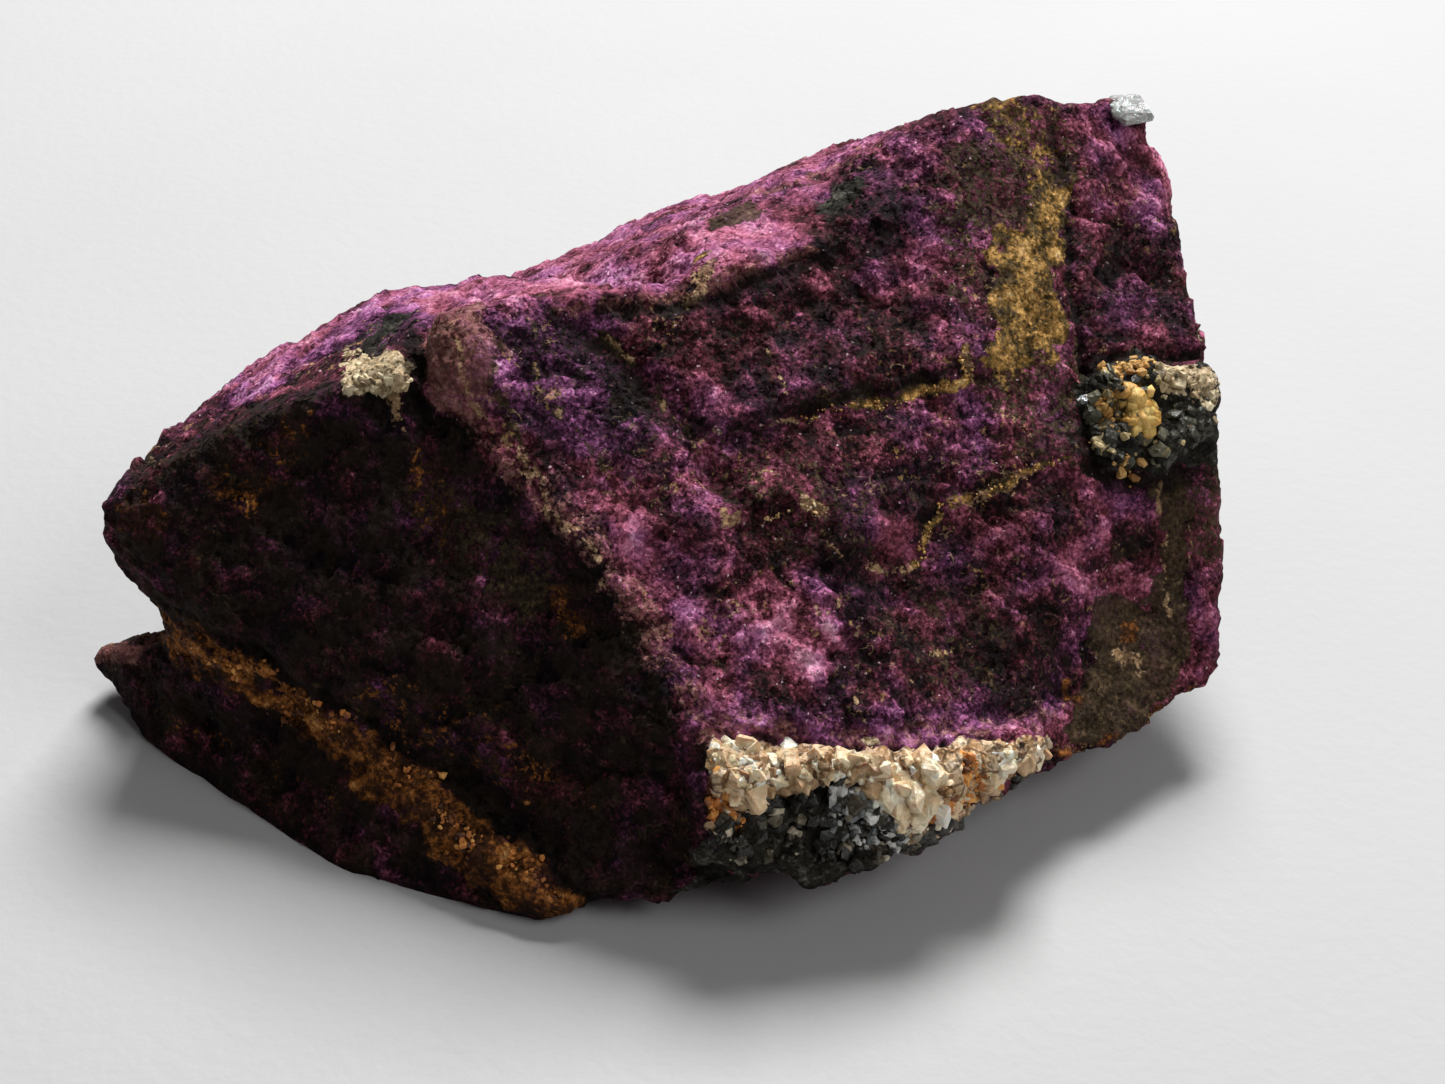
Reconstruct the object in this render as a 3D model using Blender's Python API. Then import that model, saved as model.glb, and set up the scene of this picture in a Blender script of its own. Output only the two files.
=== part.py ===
"""Purpurite specimen: one broken lump of purple phosphate, with a pale quartz and feldspar seam.

The stone is one solid. Its main masses are convex lumps with named corners. They are fused, the
ledges, clefts, bosses and flaked hollows of its broken faces are worked into their surface, and
the crystal grains of the seam, of the pocket at the right end and of the top corner are fused on.
Metres, +Z up. Seen from -Y: the purple face is to the right of the front ridge, the dark face to
the left of it, and the quartz seam runs along the foot of the purple face.
The origin is the centre of the bottom of the stone's box, on the flat that it rests on.
Every place and size below is in millimetres.
"""

import random
from dataclasses import dataclass

import bmesh
import bpy
import numpy as np
from mathutils import Vector, noise

# Driving sizes.
LENGTH = 55.0            # left prong to right end, which sets the scale of all the places below
PLACES_LENGTH = 55.0     # the same length as the places below are written
MASS_GRID = 0.5          # how finely the masses are fused
GRAIN_GRID = 0.4         # how finely the crystal grains are then fused on
TRIANGLES = 8600         # about how many triangles the finished solid keeps
BASE_SINK = 0.5          # how far the masses reach below the flat that the stone rests on
SEED = 7

MM = LENGTH / PLACES_LENGTH * 0.001

# Corners of the upper left mass, whose front is the dark face and whose top slopes to the back.
LEFT_MASS = {
    "upper tip": (-25.3, -2.2, 12.0),
    "upper tip foot": (-25.0, -2.6, 9.6),
    "cleft corner": (-22.7, -3.9, 6.6),
    "tip edge": (-21.7, 0.4, 13.0),
    "dark face brow": (-15.4, 1.1, 15.6),
    "boss crown": (-8.6, -0.4, 20.2),
    "boss shoulder": (-4.6, 0.5, 20.7),
    "brow step": (2.8, 2.1, 20.5),
    "ridge middle": (-2.1, -8.4, 14.0),
    "ridge foot": (3.0, -14.9, 8.6),
    "front foot": (2.5, -17.2, 1.6),
    "vein foot": (-4.0, -16.8, 0.6),
    "back shoulder left": (-20.9, 9.4, 10.8),
    "back shoulder middle": (-13.0, 11.6, 14.9),
    "back shoulder right": (-7.0, 10.2, 16.4),
    "back foot left": (-19.5, 11.0, -BASE_SINK),
    "back foot right": (4.0, 16.0, -BASE_SINK),
    "inner right": (10.0, -2.0, 4.0),
}

# Corners of the right mass, which carries the peak, the upright right end and the back hump.
RIGHT_MASS = {
    "ridge foot": (3.2, -14.8, 8.6),
    "seam middle": (9.6, -14.2, 7.8),
    "seam end": (17.9, -11.1, 5.6),
    "brow step": (2.4, 2.1, 20.3),
    "crest foot": (1.2, 7.2, 20.3),
    "crest": (9.8, 10.8, 22.3),
    "peak left": (14.8, 13.4, 23.8),
    "peak": (19.0, 14.6, 24.0),
    "peak right": (22.2, 15.2, 23.0),
    "crystal foot": (24.6, 15.8, 21.2),
    "right brow": (25.8, 13.8, 19.8),
    "right end upper": (26.9, 6.0, 14.6),
    "right end middle": (27.2, 1.0, 8.2),
    "right end foot": (27.4, -5.4, 3.9),
    "lower edge": (21.0, -10.1, 3.3),
    "nose right": (12.8, -15.6, 3.4),
    "nose": (7.0, -17.2, 3.0),
    "front foot": (2.4, -16.4, 1.4),
    "hump tail": (-13.0, 14.6, 9.0),
    "hump left": (-5.4, 16.4, 13.2),
    "hump middle": (0.6, 19.8, 14.7),
    "hump right": (5.0, 20.0, 16.5),
    "hump end": (11.0, 19.0, 18.4),
    "back end": (24.0, 18.4, 12.0),
    "back end foot": (21.0, 14.0, 4.0),
    "back foot": (6.0, 18.4, -BASE_SINK),
    "under right": (14.5, 6.0, -BASE_SINK),
    "under front": (4.0, -9.0, -BASE_SINK),
    "under left": (-13.0, 7.0, -BASE_SINK),
}

# Corners of the lower slab, under the rusty vein, which stands a little proud of the dark face.
LOWER_SLAB = {
    "prong": (-27.4, -1.4, 1.9),
    "prong back": (-24.0, -1.8, 3.9),
    "slab brow left": (-22.4, -4.2, 5.2),
    "slab brow": (-16.0, -8.8, 4.3),
    "slab brow right": (-9.6, -14.4, 2.6),
    "slab end": (-3.8, -17.3, 0.8),
    "left foot": (-23.6, -5.8, -BASE_SINK),
    "middle foot": (-13.6, -14.0, -BASE_SINK),
    "right foot": (-4.2, -16.8, -BASE_SINK),
    "back foot": (-19.0, 4.0, -BASE_SINK),
    "inner top": (-14.0, 2.0, 5.0),
    "inner foot": (5.0, 3.0, -BASE_SINK),
}

MASSES = {"left mass": LEFT_MASS, "right mass": RIGHT_MASS, "lower slab": LOWER_SLAB}

# Round swells, and hollows where the height is below zero: centre, reach, height.
SWELLS = {
    "boss": ((-7.6, -1.2, 19.6), 3.0, 0.9),
    "ridge knuckle": ((-1.4, -9.0, 13.6), 3.6, 0.5),
    "ridge saddle": ((0.6, -11.8, 11.6), 3.0, -0.5),
    "face swell": ((8.6, -3.6, 15.4), 6.0, 0.5),
    "lower hollow": ((14.6, -8.0, 9.8), 6.0, -0.6),
    "upper hollow": ((11.0, 3.4, 18.8), 3.6, -0.5),
    "shoulder hollow": ((8.6, 7.4, 21.4), 3.0, -0.7),
    "right facet hollow": ((23.4, 8.4, 17.6), 3.4, -0.5),
    "pocket": ((24.0, 2.6, 13.0), 3.6, 0.5),
    "olive facet": ((22.6, -5.0, 7.0), 4.6, -0.6),
    "dark face hollow": ((-15.0, -3.2, 11.6), 6.5, -0.6),
    "dark face swell": ((-6.4, -8.6, 10.6), 5.0, 0.5),
    "tip swell": ((-21.6, -2.4, 10.6), 3.0, 0.4),
    "back swell": ((-8.0, 13.6, 9.6), 7.0, 0.5),
    "back hollow": ((4.0, 19.0, 9.0), 7.0, -1.2),
    "back flake": ((15.0, 18.0, 14.0), 5.5, -0.9),
    "end hollow": ((26.6, 10.0, 9.0), 5.0, -0.9),
    "left end hollow": ((-21.4, 5.0, 6.4), 4.6, -0.8),
    "top dip": ((-12.0, 4.0, 17.0), 4.0, -0.2),
}

# Clefts and furrows, and ribs where the height is above zero: the points along each, half its width, height.
CLEFTS = {
    "cleft beside the boss": (
        [(-9.9, 1.6, 19.2), (-9.7, -0.2, 19.5), (-9.9, -2.4, 17.6), (-9.2, -4.6, 15.6)],
        0.8, -1.1,
    ),
    "furrow": (
        [(-2.4, 0.6, 20.3), (-1.4, -0.6, 19.4), (0.1, -1.5, 18.5), (2.5, -3.5, 16.6), (3.6, -5.4, 14.8)],
        1.0, -0.7,
    ),
    "ochre crack": (
        [(4.7, -2.9, 16.4), (7.7, -1.8, 16.4), (10.4, -0.7, 16.3), (13.2, 0.5, 16.4), (14.9, 1.6, 16.6)],
        0.5, -0.7,
    ),
    "upright crease": (
        [(19.2, 12.1, 22.2), (19.9, 9.2, 19.7), (20.0, 6.2, 17.5), (20.2, 3.8, 15.7), (20.2, 0.6, 13.4)],
        0.7, -0.6,
    ),
    "seam parting": (
        [(3.0, -14.6, 8.9), (6.4, -14.3, 8.3), (9.6, -14.0, 8.0), (14.0, -12.6, 7.0), (18.0, -11.0, 5.9)],
        0.6, -0.5,
    ),
    "vein parting": (
        [(-22.2, -3.8, 6.7), (-17.6, -6.0, 6.9), (-13.0, -8.4, 6.4), (-8.0, -12.0, 4.8), (-3.2, -15.6, 3.0)],
        0.7, -0.8,
    ),
    "vein rib": (
        [(-21.6, -4.0, 5.9), (-17.9, -7.1, 5.4), (-14.4, -9.6, 4.9), (-10.6, -12.4, 3.6),
         (-6.9, -14.7, 2.5), (-3.0, -16.8, 1.0)],
        1.2, 0.6,
    ),
    "ridge bead": (
        [(-8.4, -0.8, 20.2), (-6.2, -3.6, 17.8), (-3.6, -6.4, 15.6), (-1.2, -9.4, 13.2), (1.0, -12.4, 10.8)],
        1.4, 0.4,
    ),
    "slab groove": (
        [(-24.0, -3.6, 2.6), (-17.4, -9.4, 2.2), (-12.0, -13.4, 1.4)],
        0.8, -0.5,
    ),
    "back cleft": (
        [(9.0, 18.0, 18.0), (8.0, 19.6, 14.0), (10.0, 19.6, 9.0)],
        0.7, -0.7,
    ),
    "step below the tips": (
        [(-25.0, 0.6, 4.4), (-23.6, -1.6, 5.6), (-22.6, -3.0, 6.2)],
        0.9, -0.4,
    ),
}

# Shelves: the points along each edge, left to right as one faces it, the rise of the stone above it, and how
# far up the rise runs out.
SHELVES = {
    "ochre shelf": (
        [(4.7, -2.9, 16.4), (7.7, -1.8, 16.4), (10.4, -0.7, 16.3), (13.2, 0.5, 16.4), (15.0, 1.6, 16.6)],
        0.5, 4.0,
    ),
    "lower shelf": (
        [(10.7, -6.3, 12.7), (13.7, -4.1, 13.1), (16.3, -2.6, 13.0), (18.5, -1.0, 13.1), (20.6, -0.3, 12.6)],
        0.6, 3.6,
    ),
    "brow shelf": (
        [(-6.1, 0.4, 20.4), (-2.6, 0.9, 20.5), (0.5, 2.0, 20.3), (4.0, 3.2, 20.5), (7.8, 5.0, 20.7)],
        0.5, 3.0,
    ),
    "tan shelf": (
        [(1.6, -7.6, 13.6), (4.2, -6.2, 14.3), (6.9, -5.4, 14.2), (8.8, -6.4, 13.0)],
        0.4, 2.6,
    ),
    "dark face shelf": (
        [(-12.6, -2.2, 14.6), (-8.6, -5.0, 14.0), (-5.4, -7.4, 12.8)],
        0.4, 3.0,
    ),
    "back shelf": (
        [(18.0, 18.4, 12.6), (10.0, 19.4, 12.0), (2.0, 19.4, 11.4), (-6.0, 16.4, 9.6)],
        0.6, 4.5,
    ),
    "low back shelf": (
        [(14.0, 17.4, 5.4), (4.0, 18.6, 5.0), (-6.0, 15.4, 4.8), (-14.0, 12.8, 4.4)],
        0.5, 3.5,
    ),
    "high back shelf": (
        [(20.0, 16.4, 18.6), (13.0, 16.6, 19.6), (7.0, 16.0, 19.0), (1.0, 14.6, 17.8)],
        0.5, 3.0,
    ),
    "left end shelf": (
        [(-20.6, 9.0, 7.0), (-22.6, 4.0, 7.6), (-24.0, -0.5, 8.4)],
        0.4, 3.0,
    ),
    "right end shelf": (
        [(27.0, -2.0, 6.6), (27.0, 4.0, 8.6), (25.8, 12.0, 10.0)],
        0.3, 3.6,
    ),
}

# Flakes: shallow flat scars that breaking has left all over the stone.
FLAKES = 170
FLAKE_REACH = (1.6, 5.6)
FLAKE_DEPTH = (0.08, 0.32)
FLAKE_TILT = 0.17
FLAKE_RIM = 0.25         # share of a flake's reach over which it runs out

# Unevenness of the broken faces: the width of its swells and their height, from coarse to fine.
UNEVENNESS = ((8.0, 0.26), (2.6, 0.20), (1.2, 0.14))
CALM_HEIGHT = 1.6        # below this height the flakes and the unevenness fade out towards the flat

GRAIN_STRETCH = (0.75, 1.25)    # how uneven a grain's three sizes are
GRAIN_CORNER = (0.75, 1.0)      # how far out towards the box's own corner each of a grain's corners stands

MERGE = 0.01                    # edges shorter than this are closed up after the base is cut

PURPLE = (0.10, 0.028, 0.105, 1.0)


@dataclass
class GrainBed:
    """Rows of crystal grains between an upper and a lower edge, each given by the points along it."""

    upper: list
    lower: list
    rows: int
    row_length: int
    half_size: tuple
    lift: float


GRAIN_BEDS = {
    "quartz seam": GrainBed(
        upper=[(2.6, -15.0, 8.2), (6.0, -14.9, 7.7), (9.2, -14.6, 7.3), (12.6, -13.7, 6.5),
               (17.2, -11.8, 5.6)],
        lower=[(3.4, -16.6, 4.2), (6.8, -16.6, 4.0), (10.0, -16.5, 3.1), (12.8, -14.9, 4.1),
               (16.2, -12.0, 5.6)],
        rows=4,
        row_length=11,
        half_size=(0.65, 1.25),
        lift=-0.1,
    ),
    "pocket": GrainBed(
        upper=[(21.2, 3.2, 14.6), (23.6, 4.0, 14.6), (26.4, 4.8, 14.2)],
        lower=[(21.4, 0.6, 12.8), (23.8, 1.0, 12.0), (26.6, 2.2, 12.2)],
        rows=3,
        row_length=5,
        half_size=(0.6, 1.2),
        lift=0.1,
    ),
    "top corner": GrainBed(
        upper=[(22.3, 15.6, 22.8), (24.0, 15.9, 22.0)],
        lower=[(22.5, 15.2, 22.5), (24.3, 15.3, 21.6)],
        rows=2,
        row_length=4,
        half_size=(0.4, 0.7),
        lift=0.0,
    ),
}


def clear_scene():
    """Removes whatever the scene already holds."""
    for thing in list(bpy.data.objects):
        bpy.data.objects.remove(thing)


def add_hull(target, places):
    """Adds the convex lump with these corners to a bmesh, and leaves out corners that lie inside it."""
    corners = [target.verts.new(Vector(place) * MM) for place in places]
    made = bmesh.ops.convex_hull(target, input=corners, use_existing_faces=False)
    inside = {v for v in made["geom_interior"] if isinstance(v, bmesh.types.BMVert)}
    bmesh.ops.delete(target, geom=list(inside), context="VERTS")


def evaluated_mesh(thing):
    """A new mesh with an object's modifiers applied."""
    depsgraph = bpy.context.evaluated_depsgraph_get()
    return bpy.data.meshes.new_from_object(thing.evaluated_get(depsgraph))


def fuse(thing, grid):
    """Makes the overlapping lumps of an object into one closed surface."""
    remesh = thing.modifiers.new("fuse", "REMESH")
    remesh.mode = "VOXEL"
    remesh.voxel_size = grid * MM
    fused = evaluated_mesh(thing)
    thing.modifiers.remove(remesh)
    thing.data = fused


def read_surface(mesh):
    """The places of a mesh's vertices, in millimetres, and the directions they face."""
    places = np.empty(len(mesh.vertices) * 3, dtype=np.float32)
    mesh.vertices.foreach_get("co", places)
    facing = np.empty(len(mesh.vertices) * 3, dtype=np.float32)
    mesh.vertices.foreach_get("normal", facing)
    return places.reshape(-1, 3) / MM, facing.reshape(-1, 3).copy()


def smooth_fade(share):
    """Eases a share of 0 to 1, so that a form starts and ends without an edge."""
    share = np.clip(share, 0.0, 1.0)
    return share * share * (3.0 - 2.0 * share)


def nearest_on_route(places, route):
    """For each place, the offset from the nearest point of a route, and the route's direction there."""
    points = np.array(route)
    best = np.full(len(places), np.inf)
    offsets = np.zeros_like(places)
    directions = np.zeros_like(places)
    for start, end in zip(points[:-1], points[1:]):
        run = end - start
        along = np.clip((places - start) @ run / (run @ run), 0.0, 1.0)
        offset = places - (start + along[:, None] * run)
        distance = np.linalg.norm(offset, axis=1)
        nearer = distance < best
        best[nearer] = distance[nearer]
        offsets[nearer] = offset[nearer]
        directions[nearer] = run / np.linalg.norm(run)
    return offsets, directions


def swell_lift(places, centre, reach, height):
    """How far a swell lifts each place."""
    distance = np.linalg.norm(places - np.array(centre), axis=1)
    return height * smooth_fade(1.0 - distance / reach)


def cleft_lift(places, route, half_width, height):
    """How far a cleft lowers each place, or a rib lifts it."""
    offsets, _ = nearest_on_route(places, route)
    distance = np.linalg.norm(offsets, axis=1)
    return height * np.clip(1.0 - distance / half_width, 0.0, 1.0)


def shelf_lift(places, facing, route, rise, run):
    """How far a shelf lifts the stone above its edge. The edge itself is sharp."""
    offsets, directions = nearest_on_route(places, route)
    uphill = np.cross(facing, directions)
    height = np.einsum("ij,ij->i", offsets, uphill)
    distance = np.linalg.norm(offsets, axis=1)
    return np.where(height > 0.0, rise * smooth_fade(1.0 - distance / run), 0.0)


def add_flakes(places, facing, chooser):
    """Flattens the places under each flake scar, down to a plane that cuts a little into the stone."""
    for _ in range(FLAKES):
        seat = chooser.randrange(len(places))
        tilt = np.array([chooser.uniform(-FLAKE_TILT, FLAKE_TILT) for _ in range(3)])
        outward = facing[seat] + tilt
        outward /= np.linalg.norm(outward)
        reach = chooser.uniform(*FLAKE_REACH)
        depth = chooser.uniform(*FLAKE_DEPTH)
        offset = places - places[seat]
        above = offset @ outward + depth
        edge = np.clip((reach - np.linalg.norm(offset, axis=1)) / (FLAKE_RIM * reach), 0.0, 1.0)
        calm = np.clip(places[:, 2] / CALM_HEIGHT, 0.0, 1.0)
        cut = np.clip(above, 0.0, 2.0 * depth) * edge * calm
        places -= cut[:, None] * outward


def unevenness(place):
    """The height of the broken faces' unevenness at a place."""
    spot = Vector(place)
    return sum(height * noise.noise(spot / width) for width, height in UNEVENNESS)


def work_surface(mesh, chooser):
    """Works the forms of the broken faces into the fused masses."""
    places, facing = read_surface(mesh)
    lift = np.zeros(len(places))
    for centre, reach, height in SWELLS.values():
        lift += swell_lift(places, centre, reach, height)
    for route, rise, run in SHELVES.values():
        lift += shelf_lift(places, facing, route, rise, run)
    places += lift[:, None] * facing
    add_flakes(places, facing, chooser)
    lift = np.zeros(len(places))
    for route, half_width, height in CLEFTS.values():
        lift += cleft_lift(places, route, half_width, height)
    calm = np.clip(places[:, 2] / CALM_HEIGHT, 0.0, 1.0)
    lift += calm * np.array([unevenness(place) for place in places])
    places += lift[:, None] * facing
    mesh.vertices.foreach_set("co", (places * MM).astype(np.float32).ravel())
    mesh.update()


def along_route(route, share):
    """The point at a share of the way along a route."""
    spot = share * (len(route) - 1)
    index = min(int(spot), len(route) - 2)
    return Vector(route[index]).lerp(Vector(route[index + 1]), spot - index)


def add_grain(target, seat, half_size, chooser):
    """Adds one blocky crystal grain: a turned box with uneven corners."""
    turn = Vector([chooser.uniform(-1.0, 1.0) for _ in range(3)]).to_track_quat("Z", "Y")
    sizes = [chooser.uniform(*GRAIN_STRETCH) * half_size for _ in range(3)]
    corners = []
    for side in range(8):
        signs = [1.0 if side >> axis & 1 else -1.0 for axis in range(3)]
        corner = Vector([sign * size * chooser.uniform(*GRAIN_CORNER) for sign, size in zip(signs, sizes)])
        corners.append(seat + turn @ corner)
    add_hull(target, corners)


def add_grain_bed(target, bed, chooser):
    """Adds the rows of crystal grains of one bed."""
    down_the_bed = Vector(bed.lower[0]) - Vector(bed.upper[0])
    along_the_bed = Vector(bed.upper[-1]) - Vector(bed.upper[0])
    outward = down_the_bed.cross(along_the_bed).normalized()
    for row in range(bed.rows):
        for step in range(bed.row_length):
            share = (step + chooser.uniform(0.1, 0.9)) / bed.row_length
            down = (row + chooser.uniform(0.2, 0.8)) / bed.rows
            seat = along_route(bed.upper, share).lerp(along_route(bed.lower, share), down)
            add_grain(target, seat + bed.lift * outward, chooser.uniform(*bed.half_size), chooser)


def add_crystal_grains(thing, chooser):
    """Adds the grains of every bed to the stone's mesh."""
    joined = bmesh.new()
    joined.from_mesh(thing.data)
    for bed in GRAIN_BEDS.values():
        add_grain_bed(joined, bed, chooser)
    joined.to_mesh(thing.data)
    joined.free()


def thin_out(thing):
    """Lowers the number of triangles, most where the stone is nearly flat."""
    thing.data.calc_loop_triangles()
    decimate = thing.modifiers.new("thin out", "DECIMATE")
    decimate.ratio = TRIANGLES / len(thing.data.loop_triangles)
    decimate.use_collapse_triangulate = True
    thinned = evaluated_mesh(thing)
    thing.modifiers.remove(decimate)
    thing.data = thinned


def cut_base(mesh):
    """Cuts the stone off flat at Z = 0, where it rests, and closes the cut."""
    shape = bmesh.new()
    shape.from_mesh(mesh)
    bmesh.ops.bisect_plane(
        shape,
        geom=shape.verts[:] + shape.edges[:] + shape.faces[:],
        dist=0.0,
        plane_co=(0, 0, 0),
        plane_no=(0, 0, 1),
        clear_inner=True,
    )
    rim = [edge for edge in shape.edges if edge.is_boundary]
    filled = bmesh.ops.holes_fill(shape, edges=rim, sides=0)
    bmesh.ops.triangulate(shape, faces=filled["faces"])
    bmesh.ops.dissolve_degenerate(shape, edges=shape.edges[:], dist=MERGE * MM)
    bmesh.ops.recalc_face_normals(shape, faces=shape.faces[:])
    shape.to_mesh(mesh)
    shape.free()


def centre_on_origin(mesh):
    """Moves the stone so that the bottom centre of its box is the origin."""
    corners = np.array([vertex.co for vertex in mesh.vertices])
    middle = (corners.min(axis=0) + corners.max(axis=0)) / 2
    for vertex in mesh.vertices:
        vertex.co.x -= middle[0]
        vertex.co.y -= middle[1]


def stone_material():
    """The stone's plain purple, dull all over."""
    material = bpy.data.materials.new("purple phosphate")
    material.use_nodes = True
    surface = material.node_tree.nodes["Principled BSDF"]
    surface.inputs["Base Color"].default_value = PURPLE
    surface.inputs["Roughness"].default_value = 0.85
    surface.inputs["Metallic"].default_value = 0.0
    return material


def main():
    """Builds the stone."""
    clear_scene()
    chooser = random.Random(SEED)
    masses = bmesh.new()
    for corners in MASSES.values():
        add_hull(masses, corners.values())
    mesh = bpy.data.meshes.new("purpurite_stone")
    masses.to_mesh(mesh)
    masses.free()
    stone = bpy.data.objects.new("purpurite_stone", mesh)
    bpy.context.scene.collection.objects.link(stone)
    fuse(stone, MASS_GRID)
    work_surface(stone.data, chooser)
    add_crystal_grains(stone, chooser)
    fuse(stone, GRAIN_GRID)
    thin_out(stone)
    cut_base(stone.data)
    centre_on_origin(stone.data)
    stone.data.materials.clear()
    stone.data.materials.append(stone_material())


main()
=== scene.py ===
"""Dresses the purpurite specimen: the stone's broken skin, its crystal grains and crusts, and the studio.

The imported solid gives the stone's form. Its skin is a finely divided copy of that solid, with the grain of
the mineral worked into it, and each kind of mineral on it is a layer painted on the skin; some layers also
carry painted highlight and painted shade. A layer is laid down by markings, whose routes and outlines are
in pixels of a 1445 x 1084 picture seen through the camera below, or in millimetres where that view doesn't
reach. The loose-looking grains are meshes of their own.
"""

from __future__ import annotations

import logging
import math
import random
from collections.abc import Sequence
from dataclasses import dataclass, field
from enum import Enum

import bmesh
import bpy
import numpy as np
from mathutils import Matrix, Vector, noise
from mathutils.bvhtree import BVHTree


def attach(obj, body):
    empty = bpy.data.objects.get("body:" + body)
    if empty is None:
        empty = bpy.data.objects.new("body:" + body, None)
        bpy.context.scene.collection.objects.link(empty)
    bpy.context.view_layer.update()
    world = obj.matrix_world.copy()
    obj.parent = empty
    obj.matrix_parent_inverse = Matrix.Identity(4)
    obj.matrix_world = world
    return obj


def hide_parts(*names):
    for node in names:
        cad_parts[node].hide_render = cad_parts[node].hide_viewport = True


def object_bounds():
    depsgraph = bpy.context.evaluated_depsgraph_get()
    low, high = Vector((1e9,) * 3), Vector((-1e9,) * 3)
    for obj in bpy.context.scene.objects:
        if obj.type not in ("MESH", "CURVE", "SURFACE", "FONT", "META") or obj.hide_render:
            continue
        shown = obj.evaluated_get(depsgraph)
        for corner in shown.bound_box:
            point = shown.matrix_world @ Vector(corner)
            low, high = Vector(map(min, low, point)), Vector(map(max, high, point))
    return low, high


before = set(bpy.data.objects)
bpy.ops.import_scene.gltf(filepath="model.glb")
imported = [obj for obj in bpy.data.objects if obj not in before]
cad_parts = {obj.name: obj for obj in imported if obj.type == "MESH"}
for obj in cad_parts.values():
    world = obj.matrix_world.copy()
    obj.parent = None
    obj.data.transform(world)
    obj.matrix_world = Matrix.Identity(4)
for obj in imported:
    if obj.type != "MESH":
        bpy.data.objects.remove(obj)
SOLID_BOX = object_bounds()

MM = 0.001
STONE = "purpurite_stone"
NOISE_SEED = 7
LOG = logging.getLogger("purpurite")

Pixel = tuple[float, float]
Place = tuple[float, float, float]
Colour = tuple[float, float, float]
Tones = tuple[tuple[float, Colour], ...]


class Layer(Enum):
    """The skin's mineral layers, some carrying painted highlight and shade. Each value names the layer's
    attribute.
    """

    # Magenta blooms in the mineral, and painted highlight on tops and slopes facing the key light.
    LILAC_AND_HIGHLIGHT = "lilac"
    # Dark phosphate, and painted shade on faces, furrows and hollows turned from the key light.
    SHADE = "shade"
    RUST = "rust"
    OCHRE = "ochre"
    OLIVE = "olive"
    CREAM = "cream"
    TAN = "tan"
    SLATE = "slate"
    QUARTZ = "quartz"
    VIOLET = "violet"
    # Dust on worn edges, and painted highlight where ridges catch the light.
    DUST_AND_HIGHLIGHT = "dust"
    # Painted shade in cracks, creases and under overhangs, where the skin is also sunk.
    CREASE_SHADE = "crevice"


@dataclass(frozen=True)
class Line:
    """A vein, thread, crack, spot, or stroke of painted shade or highlight: a route on the stone and half
    its width in millimetres.
    """

    name: str
    layer: Layer
    half_width: float
    route: tuple[Pixel, ...] = ()
    places: tuple[Place, ...] = ()
    strength: float = 1.0
    rough_edge: float = 0.5


@dataclass(frozen=True)
class Patch:
    """An area that the camera sees, with its outline and its edge's softness in pixels.

    Where it runs over an edge of the stone, its reach in millimetres from its middle ends it.
    """

    name: str
    layer: Layer
    outline: tuple[Pixel, ...]
    edge: float = 10.0
    strength: float = 1.0
    rough_edge: float = 12.0
    reach: float = 60.0


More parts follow.
